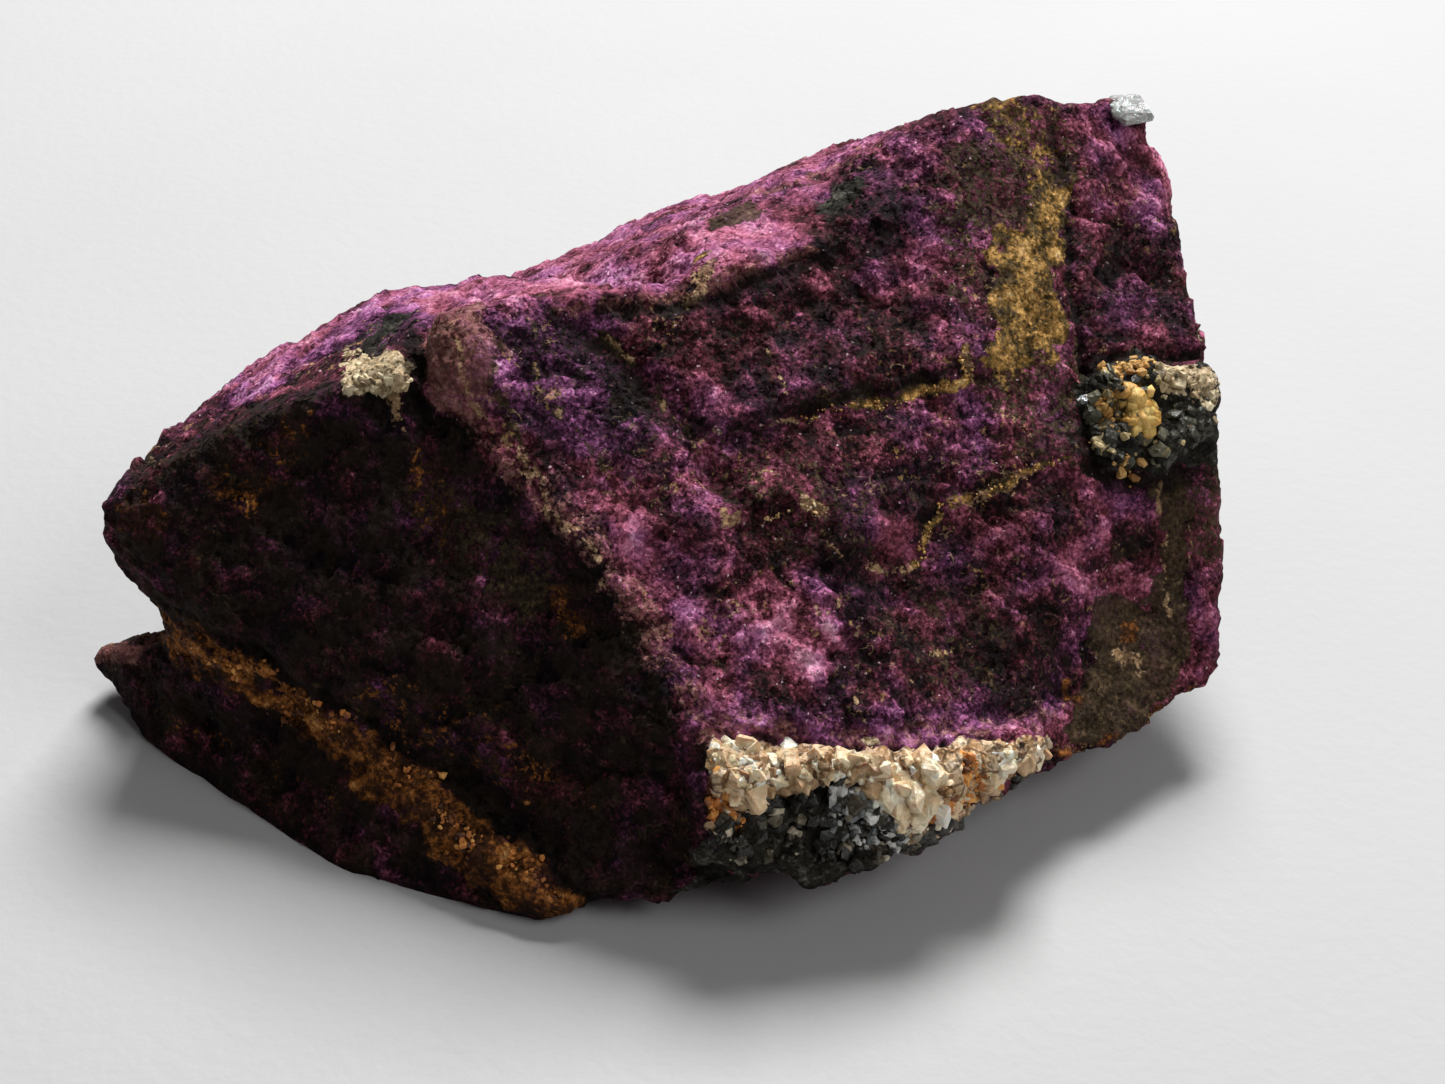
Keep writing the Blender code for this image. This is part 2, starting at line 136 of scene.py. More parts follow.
PATCHES = (
    # Painted shade over dark mineral on the face turned from the key light.
    Patch("dark face", Layer.SHADE, ((60, 490), (137, 466), (224, 416), (300, 392), (339, 380),
          (405, 395), (446, 415), (500, 455), (560, 520), (600, 575), (655, 665), (690, 745),
          (690, 800), (690, 905), (560, 940), (440, 930), (240, 840), (60, 700)), edge=16,
          rough_edge=16),
    Patch("boss side", Layer.SHADE, ((398, 350), (424, 330), (440, 350), (452, 410), (500, 455),
          (430, 430), (400, 400)), strength=0.45),
    # Painted shade on the furrow's dark side and below it.
    Patch("furrow side", Layer.SHADE, ((556, 318), (600, 325), (640, 380), (700, 440), (670, 452),
          (600, 400), (560, 360)), edge=14, strength=0.7),
    Patch("below the furrow", Layer.SHADE, ((600, 410), (690, 440), (700, 470), (640, 480), (600, 450)),
          edge=18, strength=0.5),
    Patch("upper shade", Layer.SHADE, ((730, 285), (850, 275), (930, 310), (955, 350), (860, 398),
          (745, 425), (700, 350)), edge=26, strength=0.6),
    Patch("shoulder shade", Layer.SHADE, ((760, 205), (840, 170), (900, 180), (890, 235), (840, 280),
          (800, 250)), edge=18, strength=0.55),
    Patch("middle shade", Layer.SHADE, ((720, 500), (800, 510), (900, 480), (950, 505), (930, 570),
          (860, 620), (800, 590), (740, 560)), edge=20, strength=0.5),
    Patch("right of middle", Layer.SHADE, ((1000, 480), (1090, 475), (1060, 560), (1000, 560)), edge=20,
          strength=0.45),
    # Painted shade in the hollow.
    Patch("hollow", Layer.SHADE, ((850, 590), (960, 570), (1055, 600), (1080, 690), (1050, 705),
          (930, 700), (870, 655)), edge=24, strength=0.65),
    Patch("above the seam", Layer.SHADE, ((740, 665), (860, 680), (850, 712), (760, 705)), edge=14,
          strength=0.5),
    Patch("left of the seam", Layer.SHADE, ((680, 742), (704, 742), (716, 800), (714, 870), (690, 905),
          (660, 860)), edge=6),
    # Painted shade on the facet turned away from the light.
    Patch("right facet", Layer.SHADE, ((1070, 225), (1190, 232), (1202, 365), (1110, 372), (1078, 350)),
          edge=14, strength=0.5),
    # Painted shadow under the pocket's bulge.
    Patch("below pocket", Layer.SHADE, ((1105, 478), (1160, 470), (1200, 462), (1165, 500), (1155, 560),
          (1110, 560)), edge=12, strength=0.6),
    Patch("ochre band", Layer.OCHRE, ((994, 235), (1020, 215), (1030, 175), (1064, 165), (1066, 300),
          (1060, 348), (1036, 362), (1004, 366), (994, 330), (990, 262)), edge=14, rough_edge=20,
          strength=0.84),
    Patch("band's gold", Layer.OCHRE, ((1000, 250), (1036, 226), (1050, 262), (1044, 300), (1052, 340),
          (1010, 344)), edge=20, rough_edge=26),
    Patch("upper ochre band", Layer.OCHRE, ((1000, 110), (1048, 104), (1066, 170), (1020, 180)),
          edge=14, strength=0.42, rough_edge=26),
    Patch("top rust", Layer.OCHRE, ((975, 108), (1000, 98), (1012, 112), (990, 128)), strength=0.5),
    Patch("gold below the band", Layer.OCHRE, ((975, 345), (1050, 340), (1056, 372), (1000, 380)),
          strength=0.5, rough_edge=20),
    Patch("band's dark side", Layer.OLIVE, ((940, 150), (1000, 120), (1060, 110), (1070, 230),
          (992, 240), (984, 330), (960, 320), (944, 240)), edge=16, strength=0.42, rough_edge=20),
    Patch("band foot", Layer.OLIVE, ((970, 340), (1070, 345), (1078, 470), (1030, 474), (1010, 420),
          (975, 400)), edge=14, strength=0.42, rough_edge=20),
    Patch("olive facet", Layer.OLIVE, ((1094, 592), (1122, 592), (1148, 612), (1159, 568), (1160, 492),
          (1174, 474), (1186, 474), (1187, 608), (1187, 656), (1184, 668), (1134, 731), (1089, 745),
          (1060, 735), (1094, 672)), edge=8, rough_edge=12, strength=0.85),
    Patch("olive middle", Layer.OLIVE, ((690, 430), (760, 440), (870, 470), (880, 560), (800, 560),
          (710, 500)), edge=30, strength=0.32, rough_edge=20),
    Patch("olive hollow", Layer.OLIVE, ((890, 590), (1000, 600), (1010, 700), (930, 700)), edge=30,
          strength=0.3, rough_edge=20),
    Patch("pocket", Layer.SLATE, ((1072, 378), (1110, 358), (1160, 366), (1225, 372), (1225, 425),
          (1210, 462), (1150, 474), (1098, 466), (1076, 432)), edge=6, rough_edge=12),
    Patch("cream crust", Layer.CREAM, ((347, 335), (366, 343), (416, 372), (411, 390), (383, 398),
          (351, 390), (340, 362)), edge=4, rough_edge=8, reach=2.0),
    Patch("quartz seam", Layer.QUARTZ, ((704, 732), (745, 742), (800, 745), (836, 756), (876, 751),
          (929, 750), (991, 747), (1042, 738), (1054, 750), (1030, 764), (1003, 776), (993, 802),
          (966, 818), (948, 838), (918, 846), (898, 830), (880, 800), (862, 780), (835, 778),
          (792, 796), (742, 812), (720, 836), (706, 828), (724, 796)), edge=4, rough_edge=8),
    # Dark blue-grey mineral, and painted shade where the patch runs onto the underside.
    Patch("seam's dark foot", Layer.SLATE, ((716, 832), (740, 808), (792, 788), (835, 776), (862, 778),
          (882, 802), (900, 832), (930, 842), (960, 840), (930, 880), (860, 920), (765, 915),
          (700, 925), (670, 905), (690, 860)), edge=8),
    Patch("rusty vein", Layer.RUST, ((278, 684), (300, 695), (365, 738), (430, 775), (520, 850),
          (596, 904), (545, 925), (500, 895), (430, 850), (360, 790), (312, 738)), edge=8,
          rough_edge=14, strength=0.75),
    Patch("vein start", Layer.RUST, ((160, 612), (200, 624), (256, 662), (258, 694), (225, 700),
          (185, 672), (150, 640)), edge=8, strength=0.55, rough_edge=14),
    # Painted highlight on the top strip, which faces the key light.
    Patch("top strip", Layer.LILAC_AND_HIGHLIGHT, ((430, 318), (470, 306), (560, 300), (650, 288), (728, 272),
          (811, 250), (837, 166), (757, 196), (700, 225), (640, 255), (540, 262), (440, 285),
          (380, 300)), strength=1.15),
    Patch("rim above the seam", Layer.VIOLET, ((640, 640), (715, 690), (860, 712), (1000, 700),
          (1055, 690), (1046, 736), (860, 750), (715, 742), (660, 690)), edge=14, strength=0.4),
    Patch("light rim", Layer.LILAC_AND_HIGHLIGHT, ((715, 712), (860, 722), (1000, 712), (1055, 702), (1046, 736),
          (860, 750), (715, 742)), edge=14, strength=0.52),
    Patch("left violet", Layer.VIOLET, ((450, 320), (560, 320), (640, 400), (640, 470), (560, 440),
          (480, 400)), edge=20),
    Patch("left purple", Layer.LILAC_AND_HIGHLIGHT, ((560, 455), (620, 470), (700, 560), (770, 620), (800, 680),
          (720, 720), (690, 690), (620, 590)), edge=26, strength=0.18),
    Patch("back violet", Layer.VIOLET, ((240, 390), (346, 330), (421, 290), (430, 320), (346, 345),
          (250, 408))),
    Patch("edge strip", Layer.LILAC_AND_HIGHLIGHT, ((1190, 478), (1226, 480), (1226, 690), (1193, 692)), edge=4,
          strength=0.55),
    # Painted highlight on the back slopes, lit from behind.
    Patch("back slopes", Layer.LILAC_AND_HIGHLIGHT, ((220, 400), (229, 375), (301, 330), (388, 288), (438, 278),
          (500, 270), (548, 255), (612, 218), (661, 198), (741, 165), (850, 140), (870, 147),
          (816, 174), (757, 196), (703, 225), (671, 236), (639, 260), (607, 263), (540, 265),
          (440, 288), (346, 335), (250, 402)), edge=8, strength=0.9),
    Patch("upper right", Layer.LILAC_AND_HIGHLIGHT, ((1075, 95), (1150, 105), (1185, 230), (1072, 226)), edge=12,
          strength=0.5),
    Patch("crest", Layer.LILAC_AND_HIGHLIGHT, ((860, 140), (960, 100), (1005, 100), (990, 150), (940, 180),
          (900, 165)), edge=16, strength=0.3),
)

LINES = (
    # Painted shade in fissures, creases, crystal gaps and under overhangs and the pocket.
    Line("boss fissure", Layer.CREASE_SHADE, 0.5, ((410, 338), (416, 370), (424, 424)), strength=0.9),
    # Painted shadow under the brow's overhang.
    Line("under the brow", Layer.CREASE_SHADE, 0.42, ((596, 311), (650, 306), (690, 303), (728, 292),
         (762, 276), (812, 264), (850, 266)), strength=0.62),
    Line("furrow's floor", Layer.CREASE_SHADE, 0.7, ((548, 316), (590, 346), (634, 388), (680, 428)),
         strength=0.5, rough_edge=0.8),
    Line("above the crack", Layer.CREASE_SHADE, 0.32, ((770, 416), (810, 407), (870, 395), (930, 378),
         (960, 364)), strength=0.45, rough_edge=1.0),
    Line("above the lower crack", Layer.CREASE_SHADE, 0.25, ((925, 520), (948, 498), (992, 484),
         (1040, 456)), strength=0.5, rough_edge=0.9),
    Line("left of the band", Layer.CREASE_SHADE, 0.2, ((986, 262), (990, 330)), strength=0.45,
         rough_edge=0.9),
    Line("right of the band", Layer.CREASE_SHADE, 0.24, ((1050, 130), (1070, 227), (1074, 295), (1080, 350),
         (1086, 470)), strength=0.55, rough_edge=0.8),
    Line("below the pocket", Layer.CREASE_SHADE, 0.5, ((1080, 440), (1100, 478), (1150, 484), (1200, 474)),
         strength=0.8, rough_edge=0.7),
    Line("above the pocket", Layer.CREASE_SHADE, 0.3, ((1080, 372), (1110, 356), (1160, 360), (1200, 362)),
         strength=0.7, rough_edge=0.7),
    Line("middle crease", Layer.CREASE_SHADE, 0.3, ((745, 505), (770, 540), (782, 580), (800, 600)),
         strength=0.42, rough_edge=0.9),
    Line("diagonal crease", Layer.CREASE_SHADE, 0.3, ((836, 640), (870, 668), (900, 700), (912, 720)),
         strength=0.5, rough_edge=0.8),
    Line("shoulder crease", Layer.CREASE_SHADE, 0.35, ((800, 218), (836, 250), (850, 290), (880, 310)),
         strength=0.45, rough_edge=1.0),
    Line("crest step", Layer.CREASE_SHADE, 0.3, ((700, 232), (757, 203), (816, 180), (860, 168)),
         strength=0.5, rough_edge=0.9),
    Line("facet's left side", Layer.CREASE_SHADE, 0.2, ((1086, 600), (1088, 700)), strength=0.45,
         rough_edge=0.9),
    Line("seam's upper line", Layer.CREASE_SHADE, 0.14, ((706, 728), (745, 738), (800, 741), (836, 752),
         (876, 747), (929, 746), (991, 743), (1042, 734)), strength=0.7, rough_edge=0.9),
    Line("seam's hollow", Layer.CREASE_SHADE, 0.5, ((812, 800), (836, 786), (862, 792)), strength=0.8),
    Line("seam's dark edge", Layer.CREASE_SHADE, 0.3, ((745, 806), (792, 792), (835, 780)), strength=0.8,
         rough_edge=0.8),
    Line("above the vein", Layer.CREASE_SHADE, 0.3, ((165, 606), (265, 658), (300, 686), (430, 766),
         (520, 842), (590, 897)), strength=0.62, rough_edge=0.8),
    Line("bloom by the ridge", Layer.LILAC_AND_HIGHLIGHT, 0.9, ((626, 526), (645, 556)), strength=1.45),
    Line("bloom below it", Layer.LILAC_AND_HIGHLIGHT, 0.7, ((662, 590), (682, 612))),
    Line("low bloom", Layer.LILAC_AND_HIGHLIGHT, 0.62, ((776, 634), (786, 650), (812, 664)), strength=1.7),
    Line("low bloom's neighbour", Layer.LILAC_AND_HIGHLIGHT, 0.42, ((826, 626), (836, 646)), strength=1.8),
    Line("bloom above them", Layer.LILAC_AND_HIGHLIGHT, 0.5, ((742, 590), (764, 584)), strength=1.1),
    Line("middle bloom", Layer.LILAC_AND_HIGHLIGHT, 0.75, ((886, 530), (902, 548)), strength=1.1),
    Line("bloom in the hollow", Layer.LILAC_AND_HIGHLIGHT, 0.5, ((940, 604), (950, 612))),
    Line("second hollow bloom", Layer.LILAC_AND_HIGHLIGHT, 0.4, ((903, 604), (912, 618)), strength=0.7),
    Line("upper bloom", Layer.LILAC_AND_HIGHLIGHT, 0.45, ((905, 255), (916, 280), (922, 312), (936, 330)),
         strength=0.9),
    Line("upper bloom's arm", Layer.LILAC_AND_HIGHLIGHT, 0.45, ((910, 276), (936, 262), (948, 240)), strength=0.7),
    Line("crest bloom", Layer.LILAC_AND_HIGHLIGHT, 0.7, ((872, 190), (900, 168), (930, 150)), strength=0.6),
    Line("shoulder bloom", Layer.LILAC_AND_HIGHLIGHT, 0.5, ((845, 262), (862, 286), (888, 296)), strength=0.6),
    Line("left shoulder bloom", Layer.LILAC_AND_HIGHLIGHT, 0.8, ((790, 290), (820, 300)), strength=0.4),
    Line("furrow bloom", Layer.LILAC_AND_HIGHLIGHT, 0.8, ((700, 372), (716, 396)), strength=0.5),
    Line("upper middle bloom", Layer.LILAC_AND_HIGHLIGHT, 0.7, ((760, 345), (786, 372)), strength=0.4),
    Line("top of the right bloom", Layer.LILAC_AND_HIGHLIGHT, 0.45, ((1118, 486), (1104, 524), (1084, 545),
         (1062, 562)), strength=0.95),
    Line("right low bloom", Layer.LILAC_AND_HIGHLIGHT, 0.5, ((1062, 562), (1072, 586), (1108, 592), (1148, 596)),
         strength=0.95),
    Line("right side bloom", Layer.LILAC_AND_HIGHLIGHT, 0.4, ((1150, 600), (1157, 560), (1160, 500)), strength=0.7),
    Line("bloom by the pocket", Layer.LILAC_AND_HIGHLIGHT, 0.5, ((1034, 380), (1042, 420)), strength=0.6),
    Line("facet bloom", Layer.LILAC_AND_HIGHLIGHT, 0.8, ((1112, 300), (1140, 330)), strength=0.35),
    # Worn, dusty edges, with painted highlight where the ridge, boss, brow and crest catch the light.
    Line("lit worn ridge", Layer.DUST_AND_HIGHLIGHT, 0.85, ((432, 330), (442, 390), (486, 430), (560, 505), (612, 575),
         (665, 660), (700, 735)), strength=0.5, rough_edge=0.9),
    Line("lit worn boss", Layer.DUST_AND_HIGHLIGHT, 1.6, ((440, 330), (462, 350), (456, 380)), strength=1.4),
    Line("lit worn brow", Layer.DUST_AND_HIGHLIGHT, 0.5, ((560, 310), (640, 296), (709, 284), (752, 264), (811, 250)),
         strength=0.6),
    Line("worn rim", Layer.DUST_AND_HIGHLIGHT, 0.7, ((724, 724), (860, 736), (1000, 726), (1046, 716)), strength=0.5,
         rough_edge=1.1),
    Line("lit worn crest", Layer.DUST_AND_HIGHLIGHT, 0.45, ((700, 226), (757, 198), (830, 170)), strength=0.55),
    Line("furrow thread", Layer.TAN, 0.12, ((604, 336), (640, 366), (668, 396), (692, 420)),
         rough_edge=0.8, strength=0.75),
    Line("furrow's olive side", Layer.OLIVE, 0.22, ((604, 336), (640, 370), (668, 398), (692, 424)),
         strength=0.9),
    Line("left thread", Layer.OLIVE, 0.28, ((494, 322), (497, 350), (500, 396), (520, 436)),
         strength=0.5),
    Line("second thread", Layer.OLIVE, 0.24, ((527, 324), (530, 370), (536, 400), (566, 420),
         (606, 462)), strength=0.5),
    Line("second thread's tan", Layer.TAN, 0.12, ((527, 324), (530, 370), (536, 402), (566, 420)),
         strength=0.5, rough_edge=0.9),
    Line("ridge thread", Layer.TAN, 0.22, ((448, 345), (470, 400), (520, 448), (572, 528), (606, 590)),
         strength=0.5, rough_edge=1.0),
    Line("long thread", Layer.TAN, 0.11, ((787, 577), (818, 613), (853, 664), (862, 700), (869, 742)),
         strength=0.5),
    Line("side thread", Layer.TAN, 0.1, ((736, 557), (731, 618), (712, 632)), strength=0.5),
    Line("hollow thread", Layer.TAN, 0.13, ((971, 638), (940, 650), (920, 664), (908, 690)),
         strength=0.5, rough_edge=0.9),
    Line("middle thread", Layer.TAN, 0.12, ((655, 455), (700, 478), (760, 470), (830, 480)),
         strength=0.5, rough_edge=0.9),
    Line("cross thread", Layer.TAN, 0.12, ((816, 508), (830, 540), (850, 566), (900, 572)),
         strength=0.5, rough_edge=0.9),
    Line("low thread", Layer.TAN, 0.1, ((680, 695), (700, 680), (730, 640)), strength=0.5),
    Line("upper thread", Layer.TAN, 0.1, ((770, 330), (776, 380), (790, 420)), strength=0.5),
    Line("first curl", Layer.TAN, 0.17, ((718, 512), (728, 522), (737, 514)), strength=0.95),
    Line("second curl", Layer.TAN, 0.16, ((772, 521), (782, 514)), strength=0.85),
    Line("third curl", Layer.TAN, 0.2, ((800, 500), (806, 506), (824, 516)), strength=0.85),
    Line("fourth curl", Layer.TAN, 0.18, ((812, 620), (824, 610), (836, 596)), strength=0.5),
    Line("seam curl", Layer.CREAM, 0.2, ((866, 736), (874, 742))),
    Line("ochre crack", Layer.OCHRE, 0.2, ((800, 419), (836, 411), (870, 405), (910, 396), (930, 388),
         (966, 374)), rough_edge=0.6, strength=1.3),
    Line("crack's heart", Layer.OCHRE, 0.26, ((862, 404), (890, 400), (930, 388), (958, 376)),
         rough_edge=0.9),
    Line("crack's faint start", Layer.TAN, 0.2, ((700, 440), (740, 434), (780, 424), (800, 419)),
         strength=0.5, rough_edge=0.9),
    Line("crack's shadow", Layer.SHADE, 0.5, ((760, 408), (870, 392), (930, 376)), strength=0.9),
    Line("crack's pale end", Layer.TAN, 0.26, ((970, 374), (970, 342)), strength=0.75, rough_edge=1.0),
    Line("lower crack", Layer.OCHRE, 0.2, ((918, 564), (926, 536), (948, 508), (992, 494), (1040, 466),
         (1076, 463)), strength=0.95, rough_edge=1.0),
    Line("lower crack's tan", Layer.TAN, 0.4, ((948, 508), (992, 494), (1040, 466)), strength=0.5,
         rough_edge=1.0),
    Line("crack crumb", Layer.OCHRE, 0.3, ((914, 562), (922, 556))),
    Line("lower crack's tail", Layer.TAN, 0.2, ((860, 566), (900, 578), (930, 540)), strength=0.5,
         rough_edge=0.9),
    Line("band's edge", Layer.TAN, 0.1, ((1067, 225), (1070, 295), (1076, 350)), strength=0.5,
         rough_edge=0.9),
    Line("right side of the band", Layer.TAN, 0.1, ((1075, 348), (1080, 400), (1082, 470)),
         strength=0.5, rough_edge=0.9),
    Line("pocket's ochre", Layer.OCHRE, 0.75, ((1128, 398), (1142, 416)), rough_edge=0.7),
    Line("pocket's left", Layer.OCHRE, 0.35, ((1098, 402), (1102, 424)), rough_edge=0.7),
    Line("pocket's foot", Layer.OCHRE, 0.3, ((1122, 466), (1130, 470))),
    Line("pocket's top", Layer.OCHRE, 0.4, ((1109, 372), (1137, 368)), strength=0.9),
    Line("pocket's right", Layer.CREAM, 0.5, ((1165, 376), (1203, 376), (1210, 404)), strength=0.8),
    Line("pocket's moss", Layer.OLIVE, 0.6, ((1165, 400), (1185, 430)), strength=0.8),
    Line("olive facet's spot", Layer.RUST, 0.35, ((1128, 628), (1132, 640)), strength=0.9),
    Line("olive facet's tan", Layer.TAN, 0.4, ((1124, 655), (1134, 664)), strength=0.55),
    Line("facet's foot rust", Layer.RUST, 0.25, ((1062, 690), (1068, 704), (1085, 700)), strength=0.9),
    Line("facet's right edge", Layer.TAN, 0.1, ((1190, 480), (1192, 560), (1188, 600), (1187, 670)),
         strength=0.5, rough_edge=0.9),
    Line("olive strip's light side", Layer.TAN, 0.16, ((1162, 482), (1164, 530), (1160, 570),
         (1168, 612)), strength=0.55, rough_edge=1.0),
    Line("low right edge", Layer.RUST, 0.22, ((1060, 760), (1120, 730), (1190, 688)), strength=0.8),
    Line("right rim", Layer.CREAM, 0.25, ((1181, 215), (1190, 300), (1200, 352)), strength=0.5,
         rough_edge=0.9),
    Line("yellow speck", Layer.OCHRE, 0.4, ((702, 258), (710, 256)), strength=0.9),
    Line("brow's cream", Layer.TAN, 0.5, ((688, 296), (700, 276), (712, 262)), strength=0.45,
         rough_edge=0.9),
    Line("grey patch", Layer.OLIVE, 0.9, ((728, 218), (750, 212)), strength=0.9),
    Line("glassy hollow", Layer.SLATE, 0.8, ((836, 204), (850, 192)), strength=0.8),
    Line("glassy step", Layer.SLATE, 0.8, ((375, 345), (395, 318)), strength=0.8),
    Line("cream tail", Layer.TAN, 0.45, ((388, 392), (400, 410), (404, 424)), strength=0.8),
    Line("crest rust", Layer.RUST, 0.5, ((985, 108), (1015, 102)), strength=0.8),
    Line("tip rust", Layer.RUST, 0.9, ((128, 505), (160, 520)), strength=0.42),
    Line("face rust", Layer.RUST, 0.8, ((228, 486), (250, 510)), strength=0.42),
    Line("face olive", Layer.OLIVE, 1.7, ((440, 505), (480, 545), (520, 580)), strength=0.45),
    Line("face rust below", Layer.RUST, 0.8, ((560, 600), (582, 628)), strength=0.5),
    Line("face mauve", Layer.LILAC_AND_HIGHLIGHT, 1.4, ((430, 610), (445, 640)), strength=0.3),
    Line("face stain", Layer.RUST, 1.6, ((380, 700), (470, 740), (560, 790)), strength=0.3),
    Line("upper stain", Layer.RUST, 1.0, ((420, 470), (440, 520)), strength=0.35),
    Line("bare rust", Layer.RUST, 1.2, ((250, 500), (300, 430)), strength=0.3),
    Line("slab stain", Layer.RUST, 1.0, ((170, 720), (260, 760), (330, 800)), strength=0.25),
    Line("prong's pale top", Layer.DUST_AND_HIGHLIGHT, 0.7, ((104, 653), (135, 646), (160, 640)), strength=0.9),
    Line("seam's rust", Layer.RUST, 0.5, ((962, 756), (972, 770), (988, 792)), strength=1.1,
         rough_edge=0.8),
    Line("seam's low rust", Layer.RUST, 0.34, ((934, 806), (966, 804)), rough_edge=0.8),
    Line("seam's left rust", Layer.RUST, 0.6, ((718, 764), (722, 792), (730, 820)), strength=0.9,
         rough_edge=0.8),
    Line("seam's honey", Layer.OCHRE, 0.3, ((890, 786), (900, 800)), strength=0.7, rough_edge=0.8),
    Line("vein's light edge", Layer.RUST, 0.28, ((262, 668), (300, 696), (365, 742), (430, 780)),
         rough_edge=1.0),
    Line("vein's middle", Layer.RUST, 0.5, ((170, 640), (240, 678), (300, 712), (370, 765), (440, 812),
         (530, 884)), rough_edge=1.0),
    Line("vein's end", Layer.RUST, 0.4, ((430, 800), (480, 838), (560, 905)), rough_edge=1.0),
    Line("vein round the left end", Layer.RUST, 0.9, places=((-22.4, -4.6, 6.0), (-22.0, 0.0, 6.0),
         (-21.0, 5.0, 5.6), (-19.6, 9.6, 5.0)), strength=0.6, rough_edge=1.1),
    Line("vein on the back", Layer.RUST, 0.8, places=((-19.6, 9.6, 5.0), (-12.0, 13.0, 4.6),
         (-5.0, 15.0, 4.0)), strength=0.5, rough_edge=1.2),
    Line("ochre over the crest", Layer.OCHRE, 1.0, places=((17.6, 11.6, 22.8), (16.8, 14.6, 22.8),
         (15.4, 17.4, 19.0), (13.0, 18.4, 14.0)), strength=0.55, rough_edge=1.2),
    Line("ochre down the back", Layer.OLIVE, 1.5, places=((13.0, 18.4, 14.0), (11.0, 18.6, 8.0),
         (9.0, 17.6, 3.0)), strength=0.5, rough_edge=1.3),
    Line("seam on the back", Layer.QUARTZ, 0.8, places=((20.0, 15.0, 7.0), (14.0, 17.0, 4.6),
         (7.0, 18.0, 3.4)), strength=0.55, rough_edge=1.2),
    Line("right end stain", Layer.OLIVE, 2.2, places=((26.6, -2.0, 9.0), (26.8, 4.0, 10.0),
         (26.0, 9.0, 12.0)), strength=0.5, rough_edge=1.2),
    Line("right end rust", Layer.RUST, 1.0, places=((26.8, 2.0, 6.0), (26.0, 8.0, 7.0)), strength=0.5,
         rough_edge=1.2),
    Line("back bloom", Layer.LILAC_AND_HIGHLIGHT, 2.4, places=((4.0, 18.4, 12.6), (9.0, 18.6, 11.0)), strength=0.35),
    Line("back left bloom", Layer.LILAC_AND_HIGHLIGHT, 2.0, places=((-14.0, 11.0, 10.0), (-10.0, 13.0, 8.6)),
         strength=0.35),
    Line("back shade", Layer.SHADE, 3.0, places=((-4.0, 16.0, 9.0), (2.0, 18.4, 7.0)), strength=0.6),
    Line("back right shade", Layer.SHADE, 3.0, places=((20.0, 17.0, 14.0), (22.0, 16.0, 9.0)),
         strength=0.6),
)


@dataclass(frozen=True)
class PhotoEye:
    """The camera: where it looks, how steeply, from how far, and the picture's size in pixels."""

    target: Place = (3.48, -7.62, 13.0)
    elevation: float = 38.0
    distance: float = 106.0
    lens: float = 60.0
    sensor: float = 36.0
    width: int = 1445
    height: int = 1084
    sight: tuple[float, float] = (0.005, 10.0)

    def axes(self) -> tuple[Vector, Vector, Vector]:
        """The picture's right, up and forward directions.

        Returns:
            Three unit vectors in the frame's axes.
        """
        tilt = math.radians(self.elevation)
        forward = Vector((0.0, math.cos(tilt), -math.sin(tilt)))
        up = Vector((0.0, math.sin(tilt), math.cos(tilt)))
        return Vector((1.0, 0.0, 0.0)), up, forward

    def eye(self) -> Vector:
        """Where the camera stands, in metres."""
        return (Vector(self.target) - self.axes()[2] * self.distance) * MM

    def ray(self, pixel: Pixel) -> Vector:
        """The direction in which a pixel looks.

        Args:
            pixel: The pixel's x and y.

        Returns:
            A unit vector.
        """
        right, up, forward = self.axes()
        step = self.sensor / self.lens / self.width
        across = (pixel[0] - self.width / 2) * step
        down = (pixel[1] - self.height / 2) * step
        return (forward + right * across - up * down).normalized()

    def pixels(self, places: np.ndarray) -> np.ndarray:
        """Where places show in the picture.

        Args:
            places: Rows of x, y and z, in metres.

        Returns:
            Rows of pixel x and y.
        """
        right, up, forward = (np.array(axis) for axis in self.axes())
        offset = places - np.array(self.eye())
        depth = offset @ forward
        scale = self.width * self.lens / self.sensor
        return np.stack([
            self.width / 2 + offset @ right / depth * scale,
            self.height / 2 - offset @ up / depth * scale,
        ], axis=1)

    def place_camera(self) -> None:
        """Adds the camera and makes it the scene's own."""
        data = bpy.data.cameras.new("camera")
        data.lens = self.lens
        data.sensor_width = self.sensor
        data.clip_start, data.clip_end = self.sight
        camera = bpy.data.objects.new("camera", data)
        camera.location = self.eye()
        camera.rotation_mode = "QUATERNION"
        camera.rotation_quaternion = self.axes()[2].to_track_quat("-Z", "Y")
        bpy.context.scene.collection.objects.link(camera)
        bpy.context.scene.camera = camera


class Value:
    """A shader socket that takes part in Python arithmetic and adds the Math nodes that it needs."""

    def __init__(self, sketch: Sketch, socket: bpy.types.NodeSocket) -> None:
        """Wraps a socket.

        Args:
            sketch: The material's sketch, which makes nodes.
            socket: The output socket that holds the value.
        """
        self.sketch = sketch
        self.socket = socket

    def _with(self, operation: str, first: object, second: object) -> Value:
        """A Math node on two terms."""
        return self.sketch.node("ShaderNodeMath", {"operation": operation}, {0: first, 1: second})

    def __add__(self, other: object) -> Value:
        """The sum."""
        return self._with("ADD", self, other)

    def __radd__(self, other: object) -> Value:
        """The sum, with the number first."""
        return self._with("ADD", other, self)

    def __sub__(self, other: object) -> Value:
        """The difference."""
        return self._with("SUBTRACT", self, other)

    def __rsub__(self, other: object) -> Value:
        """The difference, with the number first."""
        return self._with("SUBTRACT", other, self)

    def __mul__(self, other: object) -> Value:
        """The product."""
        return self._with("MULTIPLY", self, other)

    def __rmul__(self, other: object) -> Value:
        """The product, with the number first."""
        return self._with("MULTIPLY", other, self)

    def __abs__(self) -> Value:
        """The size without its sign."""
        return self._with("ABSOLUTE", self, 0.0)


